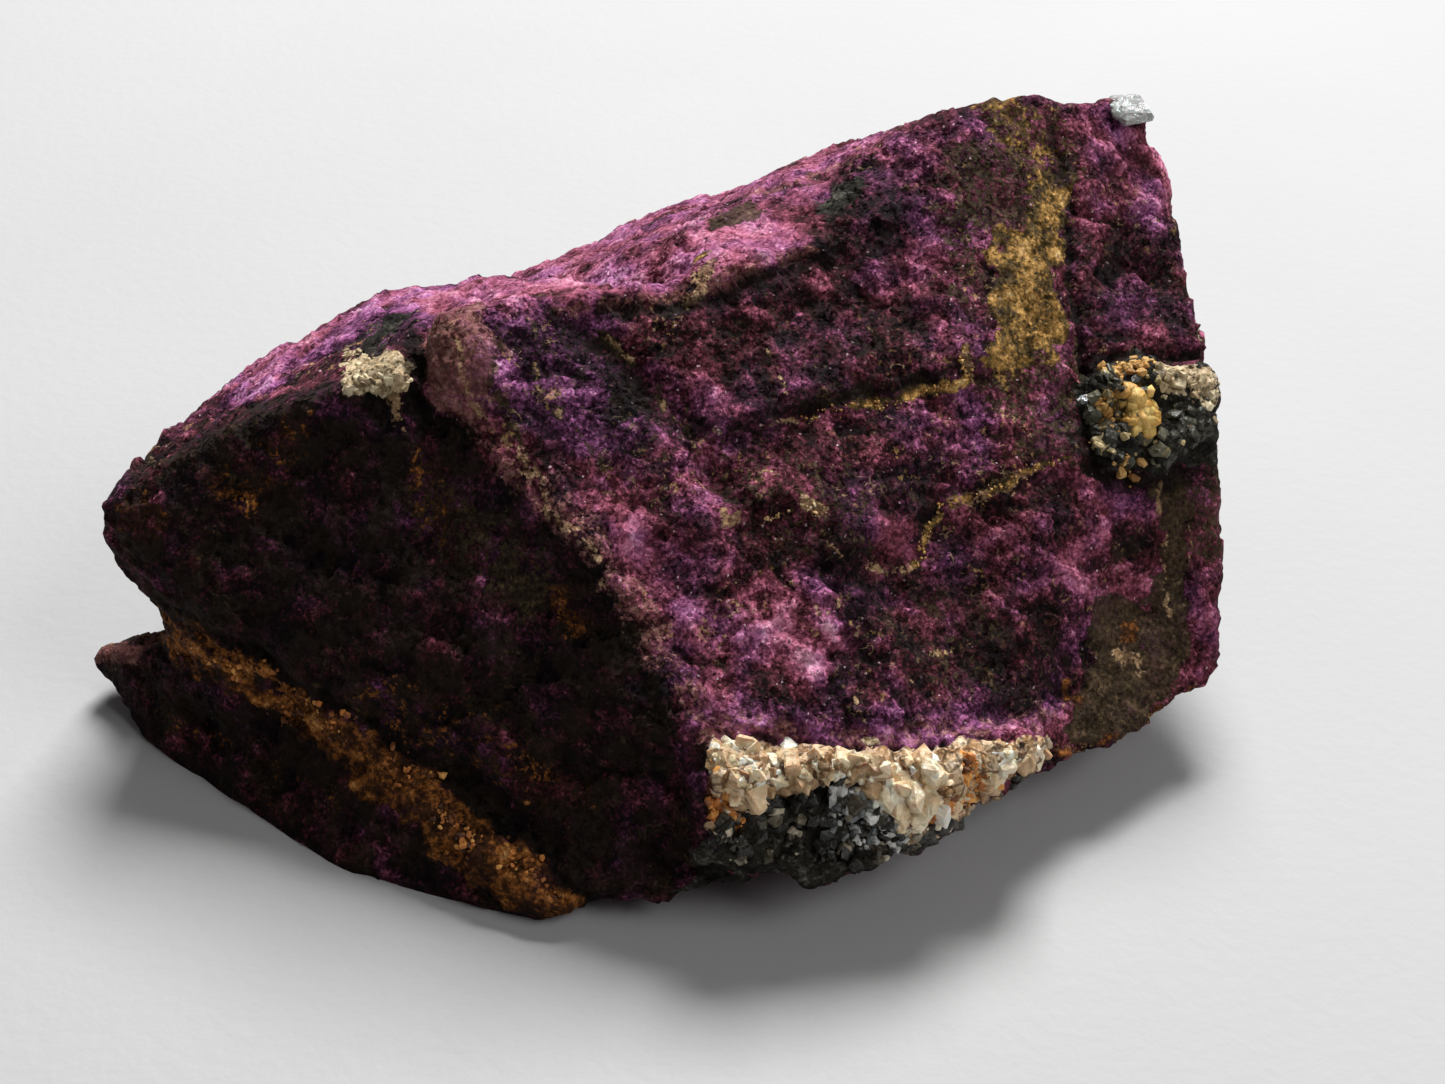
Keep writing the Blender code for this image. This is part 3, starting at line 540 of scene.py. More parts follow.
class Sketch:
    """A material in the making: its node tree, and short ways to add nodes."""

    NOISE_MIDDLE = 0.5
    NOISE_GAIN = 3.2

    def __init__(self, name: str) -> None:
        """Starts a material.

        Args:
            name: The material's name.
        """
        self.material = bpy.data.materials.new(name)
        self.material.use_nodes = True
        self.tree = self.material.node_tree
        self.surface = self.tree.nodes["Principled BSDF"]
        self.places = self.node("ShaderNodeTexCoord", {}, {}, "Object")

    def node(self, kind: str, settings: dict, inputs: dict, output: str | int = 0) -> Value:
        """Adds a node.

        Args:
            kind: The node's type.
            settings: Its own settings by name. Under "stops", a ramp's positions and colours.
            inputs: Values, colours or links by input socket.
            output: The output socket that is wanted.

        Returns:
            The wanted output.
        """
        made = self.tree.nodes.new(kind)
        for name, value in settings.items():
            if name == "stops":
                self._set_stops(made.color_ramp, value)
            else:
                setattr(made, name, value)
        for name, value in inputs.items():
            self.feed(made.inputs[name], value)
        return Value(self, made.outputs[output])

    @staticmethod
    def _set_stops(ramp: bpy.types.ColorRamp, stops: Tones) -> None:
        """Gives a ramp its stops.

        Args:
            ramp: The new node's ramp.
            stops: The positions and colours.
        """
        while len(ramp.elements) < len(stops):
            ramp.elements.new(1.0)
        for element, (position, colour) in zip(ramp.elements, stops):
            element.position = position
            element.color = (*colour, 1.0)

    def feed(self, socket: bpy.types.NodeSocket, value: object) -> None:
        """Links or sets one input.

        Args:
            socket: The input socket.
            value: A Value to link, or a number or colour to set.
        """
        if isinstance(value, Value):
            self.tree.links.new(value.socket, socket)
        elif isinstance(value, tuple) and len(value) == 3 and socket.type == "RGBA":
            socket.default_value = (*value, 1.0)
        else:
            socket.default_value = value

    def layer(self, layer: Layer) -> Value:
        """How strongly a mineral layer shows."""
        return self.attribute(layer.value)

    def attribute(self, name: str) -> Value:
        """A number kept on the mesh."""
        return self.node("ShaderNodeAttribute", {"attribute_name": name}, {}, "Fac")

    def grain(self, width: float, detail: float = 2.0, roughness: float = 0.55) -> Value:
        """A noise pattern, about 0 in the middle and rarely beyond 1 either way.

        Args:
            width: The pattern's usual width, in millimetres.
            detail: How many finer patterns lie on it.
            roughness: How strong the finer ones are.

        Returns:
            The pattern.
        """
        pattern = self.node("ShaderNodeTexNoise", {}, {
            "Vector": self.places,
            "Scale": 1.0 / (width * MM),
            "Detail": detail,
            "Roughness": roughness,
        })
        return (pattern - self.NOISE_MIDDLE) * self.NOISE_GAIN

    def _bent(self, width: float) -> Value:
        """Places that are pulled about, so that cells read from them have uneven borders.

        Args:
            width: The cells' usual width, in millimetres.

        Returns:
            The bent places.
        """
        inputs = {"Vector": self.places, "Scale": 1.0 / (width * MM), "Detail": 0.0}
        bend = self.node("ShaderNodeTexNoise", {}, inputs, "Color")
        return self.vector("ADD", self.places, self.vector("SCALE", bend, 0.9 * width * MM))

    def _cell(self, places: Value, width: float, output: str) -> Value:
        """What the cell at each place gives: its random Color, or its middle's Position."""
        inputs = {"Vector": places, "Scale": 1.0 / (width * MM)}
        return self.node("ShaderNodeTexVoronoi", {"feature": "F1"}, inputs, output)

    def cells(self, width: float) -> Value:
        """A random number for each of the uneven crystal grains of a width in millimetres."""
        return self._cell(self._bent(width), width, "Color")

    def edges(self, width: float) -> Value:
        """The distance to the nearest border between crystals, as a share of their width.

        Args:
            width: The crystals' usual width, in millimetres.

        Returns:
            The distance.
        """
        inputs = {"Vector": self.places, "Scale": 1.0 / (width * MM)}
        return self.node("ShaderNodeTexVoronoi", {"feature": "DISTANCE_TO_EDGE"}, inputs)

    def vector(self, operation: str, first: object, second: object) -> Value:
        """A Vector Math node.

        Args:
            operation: The node's operation.
            first: The first vector.
            second: The second vector, or the factor of SCALE.

        Returns:
            The vector, or the number of DOT_PRODUCT.
        """
        second_input = "Scale" if operation == "SCALE" else 1
        output = "Value" if operation == "DOT_PRODUCT" else "Vector"
        settings = {"operation": operation}
        return self.node("ShaderNodeVectorMath", settings, {0: first, second_input: second}, output)

    def facets(self, width: float, slope: float) -> Value:
        """Relief of small flat crystal faces, each with its own tilt.

        Args:
            width: The faces' usual width, in millimetres.
            slope: How steep they may be.

        Returns:
            The relief in millimetres.
        """
        places = self._bent(width)
        tilt = self.vector("SUBTRACT", self._cell(places, width, "Color"), (0.5, 0.5, 0.5))
        offset = self.vector("SUBTRACT", places, self._cell(places, width, "Position"))
        return self.vector("DOT_PRODUCT", offset, tilt) * (2.0 * slope / MM)

    def step(self, value: Value, low: float, high: float) -> Value:
        """Eases from 0 at one value to 1 at another.

        Args:
            value: What is tested.
            low: Where the step starts.
            high: Where it ends.

        Returns:
            A share from 0 to 1.
        """
        return self.node("ShaderNodeMapRange", {"interpolation_type": "SMOOTHSTEP"},
                         {"Value": value, "From Min": low, "From Max": high})

    def mix(self, share: object, first: object, second: object) -> Value:
        """Mixes two colours.

        Args:
            share: How much of the second shows.
            first: The colour at 0.
            second: The colour at 1.

        Returns:
            The mixed colour.
        """
        return self.node("ShaderNodeMix", {"data_type": "RGBA"}, {0: share, 6: first, 7: second}, 2)

    def coats(self, colour: Value, coats: Sequence[tuple[Value, object]]) -> Value:
        """Lays coats over a colour, one after another.

        Args:
            colour: The colour below.
            coats: For each coat, how much of it shows and its colour.

        Returns:
            The colour with the coats on it.
        """
        for share, coat in coats:
            colour = self.mix(share, colour, coat)
        return colour

    def ramp(self, value: Value, stops: Tones) -> Value:
        """A colour read from a ramp."""
        return self.node("ShaderNodeValToRGB", {"stops": stops}, {"Fac": value})

    def bump(self, height: Value) -> Value:
        """The normal that fine relief in millimetres bends."""
        return self.node("ShaderNodeBump", {}, {"Height": height, "Distance": MM, "Strength": 1.0})

    def finish(self, colour: object, roughness: object, normal: Value,
               **constants: float) -> bpy.types.Material:
        """Feeds the surface and hands over the material.

        Args:
            colour: The base colour.
            roughness: The roughness.
            normal: The bent normal.
            constants: Plain numbers for other sockets, with underscores for blanks.

        Returns:
            The material.
        """
        self.feed(self.surface.inputs["Base Color"], colour)
        self.feed(self.surface.inputs["Roughness"], roughness)
        self.feed(self.surface.inputs["Normal"], normal)
        for name, value in constants.items():
            self.surface.inputs[name.replace("_", " ")].default_value = value
        return self.material


@dataclass(frozen=True)
class PhosphateFinish:
    """The stone's skin: mauve and near-black phosphate with the layers of other minerals, and painted light
    and shade, on it.
    """

    rose: Tones = ((0.08, (0.005, 0.0015, 0.002)), (0.28, (0.024, 0.005, 0.007)),
                   (0.50, (0.105, 0.021, 0.031)), (0.70, (0.33, 0.082, 0.135)),
                   (0.86, (0.58, 0.19, 0.30)), (1.0, (0.76, 0.38, 0.48)))
    violet: Tones = ((0.08, (0.004, 0.0015, 0.003)), (0.28, (0.020, 0.005, 0.014)),
                     (0.50, (0.088, 0.022, 0.064)), (0.70, (0.29, 0.084, 0.22)),
                     (0.86, (0.52, 0.20, 0.41)), (1.0, (0.70, 0.40, 0.60)))
    dust: Tones = ((0.0, (0.040, 0.014, 0.012)), (0.5, (0.30, 0.115, 0.098)), (1.0, (0.72, 0.43, 0.37)))
    olive: Tones = ((0.1, (0.012, 0.009, 0.004)), (0.5, (0.060, 0.040, 0.019)),
                    (0.95, (0.22, 0.150, 0.075)))
    ochre: Tones = ((0.12, (0.020, 0.012, 0.007)), (0.38, (0.105, 0.066, 0.022)),
                    (0.58, (0.44, 0.235, 0.062)), (0.90, (0.90, 0.62, 0.29)))
    rust: Tones = ((0.15, (0.012, 0.005, 0.003)), (0.42, (0.075, 0.026, 0.007)),
                   (0.64, (0.42, 0.145, 0.030)), (0.95, (0.95, 0.55, 0.20)))
    cream: Tones = ((0.0, (0.08, 0.050, 0.025)), (0.4, (0.48, 0.35, 0.20)), (0.8, (0.88, 0.75, 0.54)))
    tan: Tones = ((0.1, (0.08, 0.04, 0.022)), (0.5, (0.36, 0.22, 0.11)), (0.95, (0.75, 0.54, 0.33)))
    slate: Tones = ((0.20, (0.007, 0.006, 0.005)), (0.50, (0.030, 0.027, 0.020)),
                    (0.72, (0.12, 0.115, 0.095)), (1.0, (0.46, 0.44, 0.40)))
    quartz: Tones = ((0.10, (0.07, 0.034, 0.014)), (0.32, (0.40, 0.22, 0.10)),
                     (0.52, (0.74, 0.53, 0.33)), (0.90, (0.95, 0.86, 0.72)))
    # Painted shade in the gaps between quartz crystals.
    quartz_gap_shade: Colour = (0.10, 0.045, 0.017)
    # Painted shade in creases.
    crevice: Colour = (0.010, 0.006, 0.004)
    # Dark specks, thicker where shade is painted.
    soot_and_shade_speck: Colour = (0.017, 0.011, 0.006)
    olive_speck: Colour = (0.042, 0.029, 0.013)
    rust_speck: Colour = (0.12, 0.042, 0.012)
    gold_speck: Colour = (0.46, 0.28, 0.105)
    gold_strand: Colour = (0.46, 0.32, 0.17)
    # Painted glint: a bright speck standing in for sparkle.
    painted_glint: Colour = (0.74, 0.50, 0.56)

    def purple(self, sketch: Sketch) -> Value:
        """The mottled phosphate colour without the other minerals, with painted highlight and shade in its
        tone.

        Args:
            sketch: The material's sketch.

        Returns:
            The colour.
        """
        coarse = sketch.cells(0.30)
        small = sketch.cells(0.13)
        fine = sketch.grain(0.20, 3.0, 0.7)
        patches = sketch.grain(1.7, 4.0, 0.66)
        broad = sketch.grain(5.0, 3.0, 0.55)
        tone = 0.10 + 0.22 * coarse + 0.38 * small + 0.20 * fine + 0.40 * patches + 0.20 * broad
        # Painted highlight on high spots of the relief and painted shade in low ones.
        tone = tone + 0.15 * sketch.attribute("height")
        # Lilac lifts the tone, partly as painted highlight; shade lowers it, partly as painted shade.
        lilac = sketch.layer(Layer.LILAC_AND_HIGHLIGHT)
        tone = tone + 0.36 * lilac * (0.70 - tone) + 0.17 * lilac - 0.22 * sketch.layer(Layer.SHADE)
        share = sketch.step(sketch.grain(2.6, 3.0, 0.6) + sketch.layer(Layer.VIOLET), -0.3, 0.7)
        return sketch.mix(share, sketch.ramp(tone, self.rose), sketch.ramp(tone, self.violet))

    def speckles(self, sketch: Sketch, colour: Value) -> Value:
        """Soot, olive, brown and golden specks all through the phosphate, with more soot where shade is
        painted, and painted glints.

        Args:
            sketch: The material's sketch.
            colour: The phosphate's colour.

        Returns:
            The speckled colour.
        """
        shade = sketch.layer(Layer.SHADE)
        zone = sketch.step(sketch.grain(4.5, 2.0, 0.6) - 0.8 * sketch.layer(Layer.LILAC_AND_HIGHLIGHT), -0.35, 0.4)
        # Soot specks, made denser by the shade layer: partly painted shade.
        soot_and_shade = sketch.step(sketch.grain(1.5, 4.0, 0.66) + 0.9 * shade, 0.62, 1.15)
        olive = sketch.step(sketch.grain(0.9, 4.0, 0.72), 0.30, 0.62)
        rust = sketch.step(sketch.grain(1.0, 4.0, 0.7), 0.50, 0.9)
        gold = sketch.step(sketch.cells(0.15), 0.54, 0.64)
        gold = gold * sketch.step(sketch.grain(0.8, 3.0, 0.66), 0.18, 0.60)
        strands = sketch.step(abs(sketch.grain(1.2, 3.0, 0.55)), 0.055, 0.02)
        strands = strands * sketch.step(sketch.grain(0.7, 2.0, 0.5), 0.10, 0.45)
        # Painted glints: bright specks standing in for sparkle of light.
        painted_glints = sketch.step(sketch.cells(0.09), 0.935, 0.95)
        return sketch.coats(colour, (
            (soot_and_shade * 0.8, self.soot_and_shade_speck),
            (olive * zone * 0.8, self.olive_speck),
            (rust * (0.30 + 0.45 * shade), self.rust_speck),
            (gold * zone * (0.9 - 0.80 * shade), self.gold_speck),
            (strands * zone * (0.75 - 0.65 * shade), self.gold_strand),
            (painted_glints * (0.8 - 0.79 * shade), self.painted_glint),
        ))

    def minerals(self, sketch: Sketch, colour: Value) -> Value:
        """The painted layers of other minerals, painted highlight and painted shade, each broken up into
        grains at its edge.

        Args:
            sketch: The material's sketch.
            colour: The phosphate's colour.

        Returns:
            The colour with the layers on it.
        """
        fine = sketch.grain(0.22, 4.0, 0.7)
        breakup = sketch.grain(0.75, 5.0, 0.74)
        blotches = sketch.grain(1.3, 3.0, 0.6)
        speck = sketch.cells(0.17)

        def cover(layer: Layer, low: float = 0.30, high: float = 0.55) -> Value:
            """A layer's painted strength, broken up into grains."""
            painted = sketch.layer(layer)
            broken = sketch.step(painted + 0.40 * breakup + 0.5 * (speck - 0.5), low, high)
            return sketch.step(painted, 0.0, 0.12) * broken

        def faded(tone: Value, layer: Layer) -> Value:
            """A tone that darkens where its layer is weak."""
            return tone - 0.32 * (1.0 - sketch.layer(layer))

        mottled = 0.24 + 0.42 * speck + 0.28 * fine + 0.30 * breakup
        patchy = 0.30 + 0.24 * speck + 0.18 * fine + 0.30 * breakup + 0.34 * blotches
        milky = 0.10 + 0.34 * sketch.cells(1.1) + 0.32 * sketch.cells(0.50)
        milky = milky + 0.16 * speck + 0.24 * breakup
        # Dark lines at the crystals' borders: painted shade in the gaps.
        gap = sketch.step(sketch.edges(0.9) + 0.05 * fine, 0.11, 0.02)
        quartz = sketch.mix(gap * 0.75, sketch.ramp(milky, self.quartz), self.quartz_gap_shade)
        olive = sketch.ramp(faded(mottled, Layer.OLIVE) + 0.14 * blotches, self.olive)
        rust = sketch.ramp(faded(patchy, Layer.RUST) + 0.10, self.rust)
        ochre = sketch.ramp(faded(patchy, Layer.OCHRE) + 0.06, self.ochre)
        return sketch.coats(colour, (
            (cover(Layer.DUST_AND_HIGHLIGHT, 0.34, 0.70) * 0.6, sketch.ramp(mottled, self.dust)),
            (cover(Layer.OLIVE) * 0.9, olive),
            (cover(Layer.TAN) * 0.85, sketch.ramp(mottled, self.tan)),
            (cover(Layer.SLATE), sketch.ramp(patchy, self.slate)),
            (cover(Layer.RUST) * 0.9, rust),
            (cover(Layer.OCHRE), ochre),
            (cover(Layer.CREAM), sketch.ramp(mottled, self.cream)),
            (cover(Layer.QUARTZ, 0.2, 0.45), quartz),
            # Painted shade in creases and under overhangs.
            (cover(Layer.CREASE_SHADE) * 0.65, self.crevice),
        ))

    def material(self) -> bpy.types.Material:
        """Builds the skin's material.

        Returns:
            The material.
        """
        sketch = Sketch("purple phosphate skin")
        colour = self.minerals(sketch, self.speckles(sketch, self.purple(sketch)))
        lit = 1.0 - 0.9 * sketch.layer(Layer.SHADE)
        roughness = 0.86 - 0.45 * sketch.step(sketch.cells(0.13), 0.86, 0.92) * lit
        relief = sketch.facets(0.50, 0.32) + sketch.facets(0.19, 0.55)
        relief = relief + 0.012 * sketch.grain(0.12, 2.0, 0.6)
        return sketch.finish(colour, roughness, sketch.bump(relief), Specular_IOR_Level=0.14)


@dataclass(frozen=True)
class GrainFinish:
    """A crystal grain's finish: the colours it takes from grain to grain, its gloss and its clearness."""

    name: str
    tones: Tones
    roughness: float = 0.4
    clearness: float = 0.0
    waxiness: float = 0.0
    stain: Colour = (0.36, 0.15, 0.03)
    stain_share: float = 0.3

    def material(self) -> bpy.types.Material:
        """Builds the grains' material.

        Returns:
            The material.
        """
        sketch = Sketch(self.name)
        cloudy = 0.16 * sketch.grain(0.4, 3.0, 0.6) + 0.26 * sketch.grain(1.6)
        colour = sketch.ramp(sketch.attribute("tone") + cloudy, self.tones)
        cloud = sketch.grain(1.1, 4.0, 0.65)
        stain = sketch.step(cloud + 0.5 * sketch.grain(0.25), 0.35, 1.0)
        colour = sketch.mix(stain * self.stain_share, colour, self.stain)
        fine = sketch.grain(0.15, 3.0, 0.6)
        roughness = self.roughness + 0.14 * cloud
        normal = sketch.bump(0.02 * fine + sketch.facets(0.35, 0.25))
        return sketch.finish(colour, roughness, normal, Transmission_Weight=self.clearness, IOR=1.54,
                             Subsurface_Weight=self.waxiness, Subsurface_Scale=0.6 * MM)


QUARTZ_FINISH = GrainFinish("milky quartz and feldspar", (
    (0.0, (0.05, 0.026, 0.011)), (0.20, (0.24, 0.13, 0.06)), (0.40, (0.54, 0.34, 0.17)),
    (0.6, (0.88, 0.62, 0.37)), (0.85, (1.0, 0.82, 0.60)), (1.0, (1.0, 0.93, 0.81))), waxiness=0.25,
    stain=(0.40, 0.17, 0.04), stain_share=0.6)
POCKET_FINISH = GrainFinish("grey pocket crystals", (
    (0.0, (0.022, 0.021, 0.012)), (0.35, (0.055, 0.053, 0.032)), (0.6, (0.13, 0.12, 0.07)),
    (0.8, (0.38, 0.28, 0.11)), (1.0, (0.76, 0.60, 0.32))), roughness=0.4, stain=(0.34, 0.17, 0.035),
    stain_share=0.5)
FOOT_FINISH = GrainFinish("dark foot grains", (
    (0.0, (0.008, 0.007, 0.004)), (0.4, (0.028, 0.023, 0.014)), (0.65, (0.10, 0.082, 0.05)),
    (0.85, (0.30, 0.25, 0.17)), (1.0, (0.60, 0.52, 0.38))), roughness=0.34, stain=(0.16, 0.07, 0.018),
    stain_share=0.6)
CRUST_FINISH = GrainFinish("ochre crumbs", (
    (0.0, (0.06, 0.022, 0.006)), (0.4, (0.26, 0.11, 0.022)), (0.7, (0.54, 0.27, 0.06)),
    (1.0, (0.74, 0.46, 0.16))), roughness=0.7, stain_share=0.25)
RUST_FINISH = GrainFinish("rust crumbs", (
    (0.0, (0.024, 0.008, 0.003)), (0.4, (0.20, 0.058, 0.010)), (0.7, (0.58, 0.19, 0.030)),
    (1.0, (0.88, 0.42, 0.10))), roughness=0.6, stain=(0.03, 0.010, 0.004), stain_share=0.4)
GLASSY_FINISH = GrainFinish("blue-grey glassy grains", (
    (0.0, (0.03, 0.032, 0.032)), (0.5, (0.17, 0.18, 0.18)), (1.0, (0.86, 0.84, 0.78))), roughness=0.22,
    stain=(0.05, 0.035, 0.018), stain_share=0.5)
GOLD_FINISH = GrainFinish("golden crust", (
    (0.0, (0.34, 0.15, 0.025)), (0.5, (0.70, 0.37, 0.07)), (1.0, (0.92, 0.62, 0.20))), roughness=0.6,
    waxiness=0.2, stain=(0.20, 0.07, 0.012), stain_share=0.5)
CURL_FINISH = GrainFinish("golden curls", (
    (0.0, (0.26, 0.11, 0.04)), (0.5, (0.58, 0.36, 0.15)), (1.0, (0.85, 0.68, 0.42))), roughness=0.6,
    stain_share=0.3)
CREAM_FINISH = GrainFinish("cream crust", (
    (0.0, (0.20, 0.13, 0.06)), (0.5, (0.52, 0.39, 0.21)), (1.0, (0.82, 0.70, 0.46))), roughness=0.65,
    stain=(0.12, 0.07, 0.025), stain_share=0.5)
CLEAR_FINISH = GrainFinish("clear corner crystal", (
    (0.0, (0.46, 0.47, 0.46)), (1.0, (0.72, 0.72, 0.70))), roughness=0.25, clearness=0.4, waxiness=0.2,
    stain=(0.30, 0.24, 0.20), stain_share=0.3)


@dataclass
class StoneSkin:
    """The stone's visible skin: a finely divided copy of the solid, with its layers painted on."""

    eye: PhotoEye
    front_edge: float = 0.21
    back_edge: float = 0.36
    slack: float = 1.35
    turned_to_eye: float = 0.05
    rounds: int = 5
    soft_rounds: int = 2
    merge_gap: float = 0.002
    flat_height: float = 0.05
    fade_height: float = 0.6
    tree: BVHTree | None = None
    piece: bpy.types.Object | None = None
    layers: dict[Layer, np.ndarray] = field(default_factory=dict)

    def build(self) -> bpy.types.Object:
        """Makes the skin.

        Returns:
            The finished piece, which stands in for the solid that it hides.
        """
        shape = bmesh.new()
        shape.from_mesh(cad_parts[STONE].data)
        bmesh.ops.remove_doubles(shape, verts=shape.verts, dist=self.merge_gap * MM)
        for turn in range(self.rounds):
            self._divide(shape)
            if turn < self.soft_rounds:
                self._soften(shape)
        shape.normal_update()
        self.tree = BVHTree.FromBMesh(shape)
        mesh = bpy.data.meshes.new("stone_skin")
        shape.to_mesh(mesh)
        shape.free()
        self.piece = bpy.data.objects.new("stone_skin", mesh)
        bpy.context.scene.collection.objects.link(self.piece)
        self._paint(mesh)
        self._roughen(mesh)
        mesh.shade_smooth()
        self._dress(mesh)
        return self.piece

    def _divide(self, shape: bmesh.types.BMesh) -> None:
        """Halves every edge that is longer than its side of the stone allows.

        Args:
            shape: The skin's mesh.
        """
        forward = self.eye.axes()[2]
        chosen = []
        for edge in shape.edges:
            first, second = edge.verts
            if (first.co.z + second.co.z) / 2 < self.flat_height * MM:
                continue
            faces_eye = -first.normal.dot(forward) > self.turned_to_eye
            limit = self.front_edge if faces_eye else self.back_edge
            if edge.calc_length() > limit * MM * self.slack:
                chosen.append(edge)
        bmesh.ops.subdivide_edges(shape, edges=chosen, cuts=1)
        wide = [face for face in shape.faces if len(face.verts) > 3]
        bmesh.ops.triangulate(shape, faces=wide, quad_method="SHORT_EDGE", ngon_method="BEAUTY")

    @staticmethod
    def _soften(shape: bmesh.types.BMesh) -> None:
        """Takes the hard folds off the solid's triangles, above the flat."""
        above = [vert for vert in shape.verts if vert.co.z > 0.02 * MM]
        bmesh.ops.smooth_vert(shape, verts=above, factor=0.5,
                              use_axis_x=True, use_axis_y=True, use_axis_z=True)

    def cast(self, pixel: Pixel) -> tuple[Vector, Vector] | None:
        """Where a pixel falls on the stone.

        Args:
            pixel: The pixel's x and y.

        Returns:
            The point and the outward direction there, or None past the stone's edge.
        """
        place, facing, _, _ = self.tree.ray_cast(self.eye.eye(), self.eye.ray(pixel))
        return None if place is None else (place, facing)

    def settle(self, place: Place) -> tuple[Vector, Vector]:
        """The nearest point of the stone to a place.

        Args:
            place: A place in millimetres.

        Returns:
            The point and the outward direction there.
        """
        found, facing, _, _ = self.tree.find_nearest(Vector(place) * MM)
        return found, facing

    def route_points(self, line: Line) -> list[Vector]:
        """Close-set points on the stone along a marking's route.

        Args:
            line: The marking.

        Returns:
            Points in metres.
        """
        points = []
        for start, end in zip(line.route[:-1], line.route[1:]):
            steps = max(2, int(math.dist(start, end) / 3.0))
            for step in range(steps + 1):
                hit = self.cast(between(start, end, step / steps))
                if hit is not None:
                    points.append(hit[0])
        for start, end in zip(line.places[:-1], line.places[1:]):
            steps = max(2, int(math.dist(start, end) / 0.2))
            for step in range(steps + 1):
                points.append(self.settle(tuple(Vector(start).lerp(Vector(end), step / steps)))[0])
        return points

    def _paint(self, mesh: bpy.types.Mesh) -> None:
        """Works out every layer's strength at every vertex and keeps it on the mesh.

        Args:
            mesh: The skin's mesh, before its grain is worked in.
        """
        places, facing = read_surface(mesh)
        wobble = noise_field(places, 0.9)
        seen = self._seen(places, facing)
        places = places + np.array([tuple(wander(place)) for place in places])
        pixels = self.eye.pixels(places)
        self.layers = {layer: np.zeros(len(places)) for layer in Layer}
        for patch in PATCHES:
            inside = inside_distance(pixels, patch.outline) + wobble * patch.rough_edge
            share = np.clip(inside / patch.edge + 0.5, 0.0, 1.0) * seen * patch.strength
            middle = self.cast(tuple(np.mean(patch.outline, axis=0)))
            if middle is not None:
                away = np.linalg.norm(places - np.array(middle[0]), axis=1) / (patch.reach * MM)
                share *= np.clip((1.3 - away) / 0.3, 0.0, 1.0)
            self.layers[patch.layer] = np.maximum(self.layers[patch.layer], share)
        for line in LINES:
            points = np.array([tuple(point) for point in self.route_points(line)])
            if len(points) == 0:
                LOG.warning("marking %s misses the stone", line.name)
                continue
            near = nearest_distance(places, points, line.half_width * 2.5 * MM) / (line.half_width * MM)
            share = np.clip(1.5 - near - line.rough_edge * wobble, 0.0, 1.0) * line.strength
            self.layers[line.layer] = np.maximum(self.layers[line.layer], share)
        self._weather(places, facing)
        for layer, strengths in self.layers.items():
            keep_values(mesh, layer.value, strengths)

    def _weather(self, places: np.ndarray, facing: np.ndarray) -> None:
        """Darkens and stains the back, where the camera's markings don't reach.

        Args:
            places: The vertices' places, in metres.
            facing: Their outward directions.
        """
        broad = noise_field(places, 4.0)
        small = noise_field(places, 1.3)
        back = np.clip(1.6 * facing[:, 1], 0.0, 1.0) * np.clip((0.75 - facing[:, 2]) / 0.3, 0.0, 1.0)
        stains = {
            Layer.SHADE: 0.40 + 1.3 * broad,
            Layer.RUST: -0.30 - 1.7 * broad + 0.7 * small,
            Layer.OLIVE: -0.10 + 1.2 * small - 0.9 * broad,
        }
        for layer, strength in stains.items():
            self.layers[layer] = np.maximum(self.layers[layer], back * np.clip(strength, 0.0, 0.7))

    def _seen(self, places: np.ndarray, facing: np.ndarray) -> np.ndarray:
        """Finds which vertices the camera sees.

        Args:
            places: The vertices' places, in metres.
            facing: Their outward directions.

        Returns:
            True for each vertex that nothing hides.
        """
        eye = self.eye.eye()
        seen = np.einsum("ij,ij->i", facing, np.array(eye) - places) > 0.0
        for index in np.flatnonzero(seen):
            sight = Vector(places[index]) - eye
            seen[index] = self.tree.ray_cast(eye, sight.normalized(), sight.length - 0.5 * MM)[0] is None
        return seen

    def _roughen(self, mesh: bpy.types.Mesh) -> None:
        """Works the mineral's broken grain into the skin, and keeps it inside the solid's box.

        Args:
            mesh: The painted skin.
        """
        places, facing = read_surface(mesh)
        hackle = 1.0 - 2.0 * np.abs(noise_field(places, 2.2))
        grains = noise_field(places, 0.5)
        broken = 0.45 * facet_field(places, 2.1) + 0.6 * facet_field(places, 0.8)
        blocks = facet_field(places, 1.15)
        layers = self.layers
        crust = np.maximum.reduce([layers[Layer.RUST], layers[Layer.CREAM], layers[Layer.QUARTZ]])
        calm = 1.0 - 0.7 * layers[Layer.OLIVE] - 0.3 * layers[Layer.OCHRE]
        lift = calm * (0.07 * (hackle - 0.6) + 0.07 * grains + broken)
        # Where creases are painted dark as shade, the skin is also sunk.
        lift += 0.08 * crust - 0.30 * layers[Layer.CREASE_SHADE]
        lift += (0.75 * layers[Layer.QUARTZ] + 0.6 * layers[Layer.SLATE]) * blocks
        # Kept for the material, which paints highlight on high spots and shade in low ones.
        keep_values(mesh, "height", np.clip(lift / 0.15, -1.5, 1.5))
        lift *= np.clip(places[:, 2] / (self.fade_height * MM), 0.0, 1.0)
        places += lift[:, None] * MM * facing
        low, high = (np.array(corner) for corner in SOLID_BOX)
        places = np.clip(places, low, high)
        mesh.vertices.foreach_set("co", places.astype(np.float32).ravel())
        mesh.update()

    def _dress(self, mesh: bpy.types.Mesh) -> None:
        """Gives the skin its material and its place in the frame.

        Args:
            mesh: The finished skin.
        """
        mesh.materials.append(PhosphateFinish().material())
        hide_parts(STONE)
        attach(self.piece, "root")


